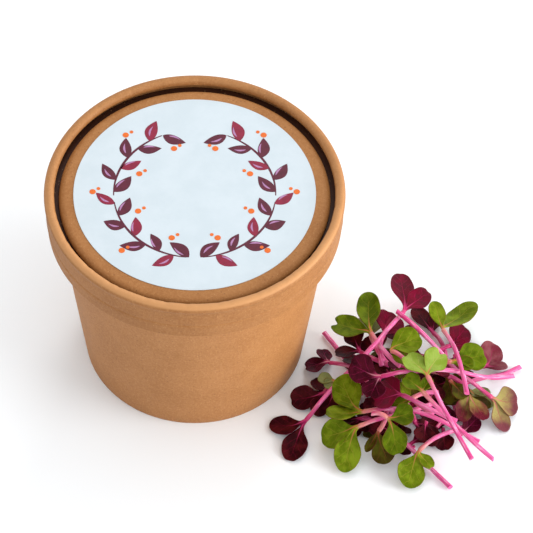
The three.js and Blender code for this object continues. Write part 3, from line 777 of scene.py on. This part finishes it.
def pointed_leaf(x, y, turn, length, half, bend=0.0):
    """Outline of a pointed leaf that starts at a place and grows in a direction."""
    shares = np.linspace(0, 1, 15)
    width = half * np.sin(np.pi * shares ** 0.85) ** 0.9
    middle = bend * length * np.sin(np.pi * shares)
    left = np.stack([shares * length, middle + width], axis=1)
    right = np.stack([shares * length, middle - width], axis=1)[1:-1]
    local = np.vstack([right, left[::-1]])
    cos, sin = math.cos(turn), math.sin(turn)
    return [(x + cos * a - sin * b, y + sin * a + cos * b) for a, b in local]


def round_dot(x, y, radius):
    turns = np.arange(18) * (2 * np.pi / 18)
    return list(zip(x + radius * np.cos(turns), y + radius * np.sin(turns)))


def twig(start, end, ring, half):
    """Outline of a thin line that runs round the wreath between two angles in degrees."""
    turns = np.radians(np.linspace(start, end, 40))
    swell = half * (0.35 + 0.65 * np.sin(np.pi * np.linspace(0.02, 0.98, 40)))
    outer = zip((ring + swell) * np.cos(turns), (ring + swell) * np.sin(turns))
    inner = zip((ring - swell) * np.cos(turns), (ring - swell) * np.sin(turns))
    return list(outer) + list(inner)[::-1]


def wreath():
    """The printed shapes of the label, each as its ink and outline: leafy twigs and round berries."""
    shapes = []
    ring = WREATH["ring"]
    for side in (1, -1):
        for start, end in ((-84, -8), (-2, 66)):
            first, last = sorted((90 - side * (90 - start), 90 - side * (90 - end)))
            shapes.append(("plum", twig(first, last, ring, WREATH["twig_half"])))
        for k in range(WREATH["leaves"]):
            angle = math.radians(90 + side * (WREATH["first_leaf"] - k * WREATH["leaf_step"]))
            outward = (k % 2) * 2 - 1
            x, y = ring * math.cos(angle), ring * math.sin(angle)
            opening = math.radians(WREATH["opening"] + 9 * vary(k, 1))
            turn = angle - side * math.pi / 2 + side * outward * opening
            length = WREATH["length"] + 1.5 * vary(k, 3)
            half = WREATH["half"] + 0.5 * vary(k, 6)
            ink = ("plum", "crimson", "plum")[k % 3]
            shapes.append((ink, pointed_leaf(x, y, turn, length, half, 0.06 * side * outward)))
            gleam_x = x + 1.9 * math.cos(turn) - 0.5 * math.sin(turn)
            gleam_y = y + 1.9 * math.sin(turn) + 0.5 * math.cos(turn)
            shapes.append(("lilac", pointed_leaf(gleam_x, gleam_y, turn, length * 0.5, 0.34, 0.1)))
        for k in range(WREATH["berries"]):
            angle = math.radians(90 + side * (WREATH["first_berry"] - k * WREATH["berry_step"]))
            reach = ring + WREATH["outside" if k % 2 else "inside"]
            x, y = reach * math.cos(angle), reach * math.sin(angle)
            shapes.append(("orange", round_dot(x, y, WREATH["berry"])))
            shapes.append(("orange", round_dot(x + 1.9 * side, y + 1.3, WREATH["small_berry"])))
    return shapes


def add_label(paper, inks):
    bottom = LID["panel_top"] + LABEL["lift"]
    top = bottom + LABEL["thick"]
    points, faces = lathe(disc_profile(LABEL["radius"], bottom, top, 0.05, 0.06), TUB_SEGMENTS)
    set_back = np.array([0, LABEL["back"], 0])
    add_piece("label_sheet", to_frame(points + set_back), faces, [paper], ["label"])
    points, faces, face_materials = [], [], []
    for order, (ink, outline) in enumerate(wreath()):
        layer = list(INKS).index(ink)
        height = top + LABEL["ink"] * (1 + 0.5 * layer) + 0.0004 * order
        more, more_faces = prism(outline, top - 0.02, height)
        faces += [tuple(len(points) + k for k in face) for face in more_faces]
        face_materials += [layer] * len(more_faces)
        points += more
    points = to_frame(np.array(points) + set_back)
    add_piece("label_print", points, faces, inks, [], face_materials)


# Sprouts: the CAD source's curves


def make_sprout(row, index):
    colour, cut, node, tip_a, tip_b, halves, bow, notches, pieces = row
    cut = np.array(cut, float)
    node = np.array(node, float)
    length = np.linalg.norm(node - cut)
    along = (node - cut) / length
    return dict(
        name=f"sprout_{index + 1:02d}",
        colour=colour,
        index=index,
        cut=cut,
        node=node,
        length=length,
        tips=[np.array(tip_a, float), np.array(tip_b, float)],
        across=np.array([-along[1], along[0]]),
        arch=STEM["arch"] * (vary(index, 0) * 2 - 0.6),
        halves=halves,
        bow=bow,
        notches=notches,
        fused=pieces == 1,
    )


def stem_point(sprout, t):
    """Points of the stem's middle line before it is laid on the heap, at the shares t of its length."""
    t = np.asarray(t, float)
    rise = 4 * t * (1 - t)
    plan = sprout["cut"] + t[..., None] * (sprout["node"] - sprout["cut"])
    plan = plan + sprout["across"] * (sprout["bow"] * rise)[..., None]
    return np.concatenate([plan, (sprout["arch"] * rise)[..., None]], axis=-1)


def half_width(u, half, petiole_half):
    """Half width of a leaf at the share u of its length: a slim petiole that opens into a round blade."""
    tau = np.maximum(0, (u - BLADE["petiole"]) / (1 - BLADE["petiole"]))
    start = petiole_half / half
    opened = smoothstep(tau / BLADE["fullest"], 0, 1) ** 1.1
    beyond = (tau - BLADE["fullest"]) / (1 - BLADE["fullest"])
    closing = np.sqrt(np.maximum(0, 1 - beyond * beyond))
    return half * np.where(tau < BLADE["fullest"], start + (1 - start) * opened, closing)


def blade_point(sprout, leaf, row, v, petiole_half=BLADE["petiole_half"]):
    """Points of a leaf's middle surface before it is laid, with their way along and place across."""
    half = sprout["halves"][leaf]
    tip_end = (1 - BLADE["petiole"]) * (1 - BLADE["fullest"])
    last_row = 1 - tip_end * (1 - math.sqrt(0.5))
    u0 = row * last_row
    tip_share = np.maximum(0, (u0 - BLADE["petiole"]) / (last_row - BLADE["petiole"]))
    bow = tip_end * (np.sqrt(1 - v * v / 2) - math.sqrt(0.5))
    start = sprout["node"]
    tip = sprout["tips"][leaf]
    length = np.linalg.norm(tip - start)
    notch = (sprout["notches"][leaf] / length) * np.exp(-((v / 0.35) ** 2)) * tip_share ** 3
    u = u0 + tip_share ** 2 * bow - notch
    heading = (stem_point(sprout, 1.0) - stem_point(sprout, 0.98))[:2]
    near = start + heading / np.linalg.norm(heading) * length * BLADE["bend"]
    far = start + (tip - start) * BLADE["straight_from"]
    w = u[..., None]
    rest = 1 - w
    centre = rest ** 3 * start + 3 * rest * rest * w * near + 3 * rest * w * w * far + w ** 3 * tip
    tangent = rest * rest * (near - start) + 2 * rest * w * (far - near) + w * w * (tip - far)
    tangent = tangent / np.linalg.norm(tangent, axis=-1, keepdims=True)
    y = v * half_width(u0, half, petiole_half) * (1 - leaf * BLADE["slimmer"])
    blade = smoothstep(u, 0.1, 0.6)
    rise = BLADE["lean"] * (tip[1] - start[1]) + 1.8 * (vary(sprout["index"], 3 + leaf) - 0.5)
    roll = 0.5 * (vary(sprout["index"], 5 + leaf) - 0.5)
    cup = BLADE["cup"] * v * v * blade
    z = rise * np.maximum(0, u) ** 1.4 + roll * y * blade + cup - leaf * BLADE["under"]
    place = centre + np.stack([-tangent[..., 1], tangent[..., 0]], axis=-1) * y[..., None]
    point = np.concatenate([place, z[..., None]], axis=-1)
    return dict(point=point, way=sprout["length"] + u * length, side=y * blade, u=u, y=y, length=length)


# Sprouts: how each one lies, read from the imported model


def packed_points(sprout):
    """The vertices of the sprout's CAD nodes, in millimetres from the tub's axis."""
    names = [sprout["name"]] if sprout["fused"] else [sprout["name"] + "_stem", sprout["name"] + "_leaves"]
    points = [vertex.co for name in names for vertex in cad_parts[name].data.vertices]
    return (np.array(points) - np.array(AXIS)) / MILLIMETRE


def lift_at(packed, place, height, highest):
    """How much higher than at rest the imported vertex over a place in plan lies, or None if it has none."""
    near = np.hypot(packed[:, 0] - place[0], packed[:, 1] - place[1]) < 0.01
    if not near.any():
        return None
    found = packed[near, 2]
    return (found.max() if highest else found.min()) - height


def stem_lifts(sprout, packed):
    """The ways along the stem at which its packed rings stand, each with how far it was lifted."""
    end_gap = -STEM["sink"] if sprout["fused"] else STEM["gap"]
    steps = math.ceil(sprout["length"] / STEM["ring_every"])
    found = []
    for i in range(steps + 1):
        t = i / steps * (1 - end_gap / sprout["length"])
        centre = stem_point(sprout, t)
        radius = STEM["cut_radius"] + (STEM["node_radius"] - STEM["cut_radius"]) * t
        upper = lift_at(packed, centre, centre[2] + radius, True)
        lower = lift_at(packed, centre, centre[2] - radius, False)
        if upper is not None and lower is not None and abs(upper - lower) < 0.1:
            found.append((t * sprout["length"], (upper + lower) / 2))
    return found


def blade_lifts(sprout, leaf, packed):
    """Samples of a leaf's packed vertices: way along, place across, and how far each was lifted."""
    broad = sprout["halves"][leaf] >= BLADE["broad_half"]
    columns = BLADE["broad_columns"] if broad else BLADE["columns"]
    step = 0.02
    samples = []
    for row in ROWS:
        thick = BLADE["node_thick"] + (BLADE["thick"] - BLADE["node_thick"]) * smoothstep(row, 0.1, 0.5)
        for v in np.linspace(-1, 1, columns + 1):
            rows = np.array([row, row, row, row + step, row - step])
            places = np.array([v, v + step, v - step, v, v])
            found = blade_point(sprout, leaf, rows, places)
            point = found["point"]
            normal = np.cross(point[3] - point[4], point[1] - point[2])
            normal *= thick / 2 / np.linalg.norm(normal)
            for sign in (1, -1):
                corner = point[0] + sign * normal
                lift = lift_at(packed, corner, corner[2], sign > 0)
                if lift is not None:
                    samples.append((found["way"][0], found["side"][0], lift))
    return np.array(samples)


def how_it_lies(sprout):
    """The lift along the stem and each leaf, as knots of a smooth curve, and each leaf's roll.

    Near the node a vertex of another part can stand over a place of the leaf. Such a vertex lies off the
    curve, so that it counts for less at each round.
    """
    packed = packed_points(sprout)
    on_stem = [(way, lift) for way, lift in stem_lifts(sprout, packed) if way < sprout["length"] - 2]
    laid = []
    for leaf in (0, 1):
        samples = blade_lifts(sprout, leaf, packed)
        knots = blade_point(sprout, leaf, np.array(ROWS), np.zeros(len(ROWS)))["way"]
        weights = np.array([np.interp(samples[:, 0], knots, row) for row in np.eye(len(knots))]).T
        known = np.hstack([weights, samples[:, 1:2]])
        bends = np.diff(np.eye(len(knots) + 1)[:len(knots)], 2, axis=0) * 0.02
        trust = np.ones(len(samples))
        for _ in range(8):
            trusted = np.vstack([known * trust[:, None], bends])
            wanted = np.concatenate([samples[:, 2] * trust, np.zeros(len(bends))])
            solved = np.linalg.lstsq(trusted, wanted, rcond=None)[0]
            trust = 1 / (1 + ((known @ solved - samples[:, 2]) / LAY_SLACK) ** 2)
        laid.append(dict(knots=knots, lifts=solved[:-1], roll=solved[-1]))
    for leaf in laid:
        leaf["knots"] = np.concatenate([[way for way, _ in on_stem], leaf["knots"]])
        leaf["lifts"] = np.concatenate([[lift for _, lift in on_stem], leaf["lifts"]])
    return laid


def smooth_curve(knots, values, at):
    """A smooth curve through the values at the knots, without overshoot between them."""
    gaps = np.diff(knots)
    slopes = np.diff(values) / gaps
    tangents = np.zeros(len(knots))
    same = slopes[1:] * slopes[:-1] > 0
    blend = np.zeros(len(slopes) - 1)
    blend[same] = 2 / (1 / slopes[1:][same] + 1 / slopes[:-1][same])
    tangents[1:-1] = blend
    tangents[0] = slopes[0]
    tangents[-1] = slopes[-1]
    k = np.clip(np.searchsorted(knots, at) - 1, 0, len(gaps) - 1)
    gap = gaps[k]
    share = np.clip((at - knots[k]) / gap, -0.2, 1.2)
    square = share * share
    cube = square * share
    return (
        (2 * cube - 3 * square + 1) * values[k]
        + (cube - 2 * square + share) * gap * tangents[k]
        + (3 * square - 2 * cube) * values[k + 1]
        + (cube - square) * gap * tangents[k + 1]
    )


# Sprouts: the fine surface


def unit(vectors):
    return vectors / np.linalg.norm(vectors, axis=-1, keepdims=True)


def stem_rings(sprout, laid, t, shrink):
    """Points of rings round the laid stem, then of its two poles, and the places across of the rings."""
    length = sprout["length"]
    sides = FINE["stem_sides"]
    way = t * length
    centre = stem_point(sprout, t)
    centre[:, 2] += sum(smooth_curve(leaf["knots"], leaf["lifts"], way) for leaf in laid) / 2
    ahead = unit(np.gradient(stem_point(sprout, t + np.arange(len(t)) * 1e-6)[:, :2], axis=0) + 1e-9)
    ahead[:3] = ahead[3]
    side = np.stack([-ahead[:, 1], ahead[:, 0], np.zeros(len(t))], axis=1)
    angles = np.arange(sides) * (2 * np.pi / sides)
    phase = vary(sprout["index"], 11) * 2 * np.pi
    radius = FINE["cut_radius"] + (FINE["node_radius"] - FINE["cut_radius"]) * t
    radius = radius * (1 + 0.035 * np.sin(way / 2.9 + phase) + 0.02 * np.sin(way / 1.1 + 2 * phase))
    radius = radius * (1 + 0.05 * smoothstep(-way, -1.6, 0)) * shrink
    flute = 1 + FINE["flute"] * np.cos(3 * angles[None, :] + phase + way[:, None] * 0.05)
    across = radius[:, None] * flute * np.cos(angles)
    widen = 1 + FINE["widening"] * smoothstep(t, 1 - 3.5 / length, 1)
    ring = centre[:, None, :] + side[:, None, :] * (across * widen[:, None])[..., None]
    ring[..., 2] += radius[:, None] * flute * np.sin(angles)
    slant = FINE["slant"] * np.sin(angles + phase) * smoothstep(-way[:, None], -0.8, 0)
    ring[..., :2] += ahead[:, None, :] * slant[..., None]
    end = centre[-1] + np.append(ahead[-1] * 0.12, 0)
    return np.vstack([ring.reshape(-1, 3), centre[0], end]), across


def stem_surface(sprout, laid):
    """Points, faces and traits of a round stem with a flat cut end, which ends inside the petioles."""
    length = sprout["length"]
    sides = FINE["stem_sides"]
    reach = 0.7 / length
    t = np.concatenate([[0, 0, 0.25 / length], np.linspace(0.9 / length, 1, FINE["stem_rings"]),
                        [1 + 0.6 * reach, 1 + reach]])
    shrink = np.ones(len(t))
    shrink[:3] = (0.82, 0.95, 1.0)
    shrink[-2:] = (0.8, 0.35)
    points, across = stem_rings(sprout, laid, t, shrink)
    faces = [face[::-1] for face in tube_faces(len(t), sides, True)]
    seed = 7 * vary(sprout["index"], 12) + 3 * sprout["index"]
    along = np.repeat((t - 1) * length, sides)
    place = np.stack([along, across.ravel(), np.full(len(along), seed)], axis=1)
    place = np.vstack([place, [-length, 0, seed], [0.8, 0, seed]])
    cut = np.zeros(len(points))
    cut[:sides] = 1
    cut[len(along)] = 1
    share = np.append(np.repeat(t - 1, sides), [-1, 0])
    part = np.stack([share, cut, np.zeros(len(cut))], axis=1)
    return points, faces, place, part


def blade_offsets(row, v, y):
    """How far a leaf's upper and lower surfaces lie from its middle: rounded at the rim, and ribbed."""
    thinned = smoothstep(row, 0.06, 0.46)
    thick = FINE["node_thick"] + (FINE["thick"] - FINE["node_thick"]) * thinned
    power = 2 + 4 * thinned
    profile = np.maximum(0, 1 - np.abs(v) ** power) ** (1 / power)
    tip = np.clip((row - FINE["rounded_from"]) / (1 - FINE["rounded_from"]), 0, 1)
    profile = profile * np.sqrt(1 - tip * tip)
    half = thick / 2 * profile
    groove = FINE["groove"] * np.exp(-((y / 0.35) ** 2)) * smoothstep(-row, -0.9, -0.6)
    rib = FINE["rib"] * np.exp(-((y / 0.4) ** 2)) * smoothstep(row, 0.2, 0.4) * smoothstep(-row, -0.95, -0.5)
    return half - groove * profile, half + rib * profile


def blade_faces(count, columns):
    """Faces of a leaf whose upper and lower surfaces share their points along the rim and at the tip."""

    def above(i, j):
        return i * columns + j

    def below(i, j):
        shared = j in (0, columns - 1) or i == count - 1
        return above(i, j) if shared else count * columns + above(i, j)

    faces = []
    for i in range(count - 1):
        for j in range(columns - 1):
            faces.append((above(i, j), above(i + 1, j), above(i + 1, j + 1), above(i, j + 1)))
            faces.append((below(i, j), below(i, j + 1), below(i + 1, j + 1), below(i + 1, j)))
    top_loop = [above(0, j) for j in range(columns)]
    bottom_loop = [below(0, j) for j in range(columns - 2, 0, -1)]
    faces.append(tuple(top_loop + bottom_loop))
    return faces


def blade_surface(sprout, leaf, laid):
    """Points, faces and traits of a leaf: a stalk that opens into a thin blade with a rounded rim."""
    rows = FINE["start"] + (1 - FINE["start"]) * np.linspace(0, 1, FINE["rows"]) ** 0.9
    across = np.sin(np.linspace(-1, 1, FINE["columns"]) * np.pi / 2)
    row, v = np.meshgrid(rows, across, indexing="ij")
    found = blade_point(sprout, leaf, row, v, FINE["petiole_half"])
    middle, u, y, length = found["point"], found["u"], found["y"], found["length"]
    middle[..., 2] += laid[leaf]["roll"] * found["side"]
    middle[..., 2] += smooth_curve(laid[leaf]["knots"], laid[leaf]["lifts"], found["way"])
    phase = 2 * np.pi * vary(sprout["index"], 13 + leaf)
    ripple = FINE["ripple"] * np.sin(4.5 * u + phase + 1.3 * np.sign(v)) * np.abs(v) ** 1.6
    ripple += FINE["curl"] * np.sin(11 * u + 2 * phase + 2 * np.sign(v)) * v * v
    middle[..., 2] += smoothstep(u, 0.35, 0.75) * ripple
    normal = unit(np.cross(np.gradient(middle, axis=0), np.gradient(middle, axis=1)))
    up, down = blade_offsets(row, v, y)
    upper = middle + normal * up[..., None]
    lower = middle - normal * down[..., None]
    points = np.vstack([upper.reshape(-1, 3), lower.reshape(-1, 3)])
    edge = (1 - np.abs(v)) * half_width(u.clip(0, 0.97), sprout["halves"][leaf], FINE["petiole_half"])
    edge = np.minimum(edge, (1.02 - row) * length)
    seed = 7 * vary(sprout["index"], 12) + 3 * sprout["index"] + 1.5 * leaf
    place = np.stack([u * length, y, np.full(row.shape, seed)], axis=-1)
    place = np.vstack([place.reshape(-1, 3)] * 2)
    part = np.stack([u, edge, np.zeros(row.shape)], axis=-1).reshape(-1, 3)
    under = part.copy()
    under[:, 2] = 1
    return points, blade_faces(*row.shape), place, np.vstack([part, under])


def joined(surfaces):
    """Several surfaces as one, without points that no face uses."""
    points, faces, place, part, owner = [], [], [], [], []
    first = 0
    for number, (more, more_faces, more_place, more_part) in enumerate(surfaces):
        used = np.unique(np.concatenate([np.array(face) for face in more_faces]))
        renumbered = np.full(len(more), -1)
        renumbered[used] = np.arange(len(used)) + first
        faces += [tuple(int(renumbered[k]) for k in face) for face in more_faces]
        points.append(more[used])
        place.append(more_place[used])
        part.append(more_part[used])
        owner += [number] * len(more_faces)
        first += len(used)
    return np.vstack(points), faces, np.vstack(place), np.vstack(part), owner


def add_plant(name, surface, points, materials, replaced):
    """A piece of plant from a joined surface, with its points in the frame and each part's material."""
    _, faces, place, part, owner = surface
    face_materials = [min(number, len(materials) - 1) for number in owner]
    traits = dict(place=place, part=part)
    return add_piece(name, points, faces, materials, replaced, face_materials, 50, traits)


def add_sprout(row, index, stems, leaves):
    sprout = make_sprout(row, index)
    laid = how_it_lies(sprout)
    name = sprout["name"]
    stem = stems["green" if sprout["colour"] in ("green", "pale", "olive") else "red"]
    blade = leaves[OWN_SHADES.get(index + 1, sprout["colour"])]
    slot = "leaf_" + sprout["colour"]
    stalk = stem_surface(sprout, laid)
    blades = [blade_surface(sprout, leaf, laid) for leaf in (0, 1)]
    if sprout["fused"]:
        pieces = [("_whole", [stalk, *blades], [stem, blade], slot, name)]
    else:
        pieces = [("_stalk", [stalk], [stem], "stem_pink", name + "_stem"),
                  ("_blades", blades, [blade], slot, name + "_leaves")]
    added = []
    for ending, surfaces, materials, piece_slot, node in pieces:
        surface = joined(surfaces)
        added.append(add_plant(name + ending, surface, to_frame(surface[0]), materials, [node]))
    return added


# Loose leaves


def heap_tree(pieces):
    points, faces = [], []
    for piece in pieces:
        first = len(points)
        points += [vertex.co.copy() for vertex in piece.data.vertices]
        faces += [tuple(first + k for k in polygon.vertices) for polygon in piece.data.polygons]
    return BVHTree.FromPolygons(points, faces)


def loose_leaf(number):
    """A leaf that grows from the origin along X, and its traits."""
    length = LOOSE["length"] * (0.8 + 0.5 * vary(number, 21))
    half = LOOSE["half"] * (0.8 + 0.45 * vary(number, 22))
    lean = 3 * (vary(number, 23) - 0.5)
    row = ("dark", (-12, 0), (0, 0), (length, lean), (length, -lean), (half, half), 0, (0.4, 0), 1)
    sprout = make_sprout(row, number)
    knots = np.array([0, sprout["length"], sprout["length"] + length])
    laid = [dict(knots=knots, lifts=np.zeros(3), roll=0.0)] * 2
    return blade_surface(sprout, 0, laid)


def settle(number, points, faces, place, turns, least, trees):
    """The lowest of the poses tried in which a leaf over a place touches nothing: height, points, tree."""
    best = None
    for k, turn in enumerate(turns):
        tip = math.radians(LOOSE["tip"]) * math.sin(5 * number + 2 * k)
        roll = math.radians(LOOSE["roll"]) * math.cos(3 * number + k)
        pose = Matrix.Rotation(turn, 3, "Z") @ Matrix.Rotation(tip, 3, "Y") @ Matrix.Rotation(roll, 3, "X")
        turned = points @ np.array(pose).T
        height = least - turned[:, 2].min()
        while height < least + LOOSE["highest"] and (best is None or height < best[0]):
            laid = to_frame(turned + (*place, height))
            tree = BVHTree.FromPolygons(laid.tolist(), faces)
            if not any(tree.overlap(other) for other in trees):
                best = (height, laid, tree)
            height += LOOSE["step"]
    return best


def add_loose_leaves(sprouts, leaves):
    """Leaves spread evenly over the heap's middle and a few on top of them, each as low as it can lie."""
    wanted = []
    for number in range(LOOSE["count"]):
        distance = math.sqrt((number + 0.5) / LOOSE["count"])
        angle = number * math.pi * (3 - math.sqrt(5))
        x = LOOSE["middle"][0] + LOOSE["reach"][0] * distance * math.cos(angle)
        y = LOOSE["middle"][1] + LOOSE["reach"][1] * distance * math.sin(angle)
        shares = vary(number, 24) + np.arange(LOOSE["turns"]) / LOOSE["turns"]
        colour = LOOSE_COLOURS[number % len(LOOSE_COLOURS)]
        wanted.append(((x, y), 2 * math.pi * shares, LOOSE["least"], colour))
    for at, turn, least, colour in UPPER:
        wanted.append((at, np.radians([turn, turn + 25, turn - 25]), least, colour))
    trees = [heap_tree(sprouts)]
    for number, (at, turns, least, colour) in enumerate(wanted):
        surface = joined([loose_leaf(number)])
        points = surface[0] - surface[0].mean(axis=0)
        best = settle(number, points, surface[1], at, turns, least, trees)
        if best is None:
            continue
        trees.append(best[2])
        add_plant(f"loose_leaf_{number + 1:02d}", surface, best[1], [leaves[colour]], [])


# Stage


def add_camera():
    """The camera looks down at the tub's axis and is then turned to the right, about its own upright."""
    tilt = math.radians(CAMERA_TILT)
    turn = math.atan((PHOTO_PIXELS / 2 - AXIS_PIXEL) / FOCAL_PIXELS)
    forward = Vector((0, math.cos(tilt), -math.sin(tilt)))
    right = Vector((1, 0, 0))
    up = Vector((0, math.sin(tilt), math.cos(tilt)))
    aim = AXIS + Vector((0, 0, CAMERA_AIM_HEIGHT * MILLIMETRE))
    data = bpy.data.cameras.new("camera")
    data.sensor_width = SENSOR
    data.lens = SENSOR * FOCAL_PIXELS / PHOTO_PIXELS
    data.clip_start = 0.1
    data.clip_end = 20
    camera = bpy.data.objects.new("camera", data)
    bpy.context.scene.collection.objects.link(camera)
    turned_forward = forward * math.cos(turn) + right * math.sin(turn)
    turned_right = right * math.cos(turn) - forward * math.sin(turn)
    matrix = Matrix((turned_right, up, -turned_forward)).transposed().to_4x4()
    matrix.translation = aim - forward * CAMERA_DISTANCE * MILLIMETRE
    camera.matrix_world = matrix
    bpy.context.scene.camera = camera


def add_floor():
    corners = [(x * FLOOR_HALF, y * FLOOR_HALF, 0) for x, y in ((-1, -1), (1, -1), (1, 1), (-1, 1))]
    mesh = bpy.data.meshes.new("floor")
    mesh.from_pydata(corners, [], [(0, 1, 2, 3)])
    material, tree, shader, place = new_material("floor_white", 0.9, 0.0)
    shade = mix(tree, noise(tree, place, 3, 2), linear(245, 249, 252), linear(247, 251, 254))
    wire(tree, shader.inputs["Base Color"], shade)
    mesh.materials.append(material)
    floor = bpy.data.objects.new("floor", mesh)
    bpy.context.scene.collection.objects.link(floor)


def add_light():
    world = bpy.data.worlds.new("room")
    world.use_nodes = True
    background = world.node_tree.nodes["Background"]
    background.inputs["Color"].default_value = (1, 1, 1, 1)
    background.inputs["Strength"].default_value = ROOM_STRENGTH
    bpy.context.scene.world = world
    for name, box in SOFT_BOXES.items():
        turn = math.radians(box["turn"])
        height = math.radians(box["height"])
        flat = math.cos(height)
        towards = Vector((math.cos(turn) * flat, -math.sin(turn) * flat, math.sin(height)))
        data = bpy.data.lights.new(name, "AREA")
        data.shape = "DISK"
        data.size = box["size"]
        data.energy = box["power"]
        light = bpy.data.objects.new(name, data)
        light.location = Vector((0, 0, LIGHT_AIM_HEIGHT * MILLIMETRE)) + towards * box["distance"]
        light.rotation_euler = towards.to_track_quat("Z", "Y").to_euler()
        bpy.context.scene.collection.objects.link(light)


def main():
    bpy.context.scene.view_settings.view_transform = "Standard"
    add_camera()
    add_light()
    add_floor()
    add_tub(kraft_material("board"))
    add_lid_ring(kraft_material("lid"))
    add_lid_panel(kraft_material("panel"), kraft_material("groove_shade"))
    add_label(label_material(), [ink_material(ink) for ink in INKS])
    for node, material in (("growing_disc", coir_material()), ("seed_sachet", sachet_material())):
        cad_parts[node].data.materials.clear()
        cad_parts[node].data.materials.append(material)
    stems = dict(
        green=stem_material("stem_green_kind", SALMON),
        red=stem_material("stem_red_kind", MAGENTA),
    )
    leaves = leaf_materials()
    sprouts = []
    for index, row in enumerate(SHOWN):
        sprouts += add_sprout(row, index, stems, leaves)
    add_loose_leaves(sprouts, leaves)


main()
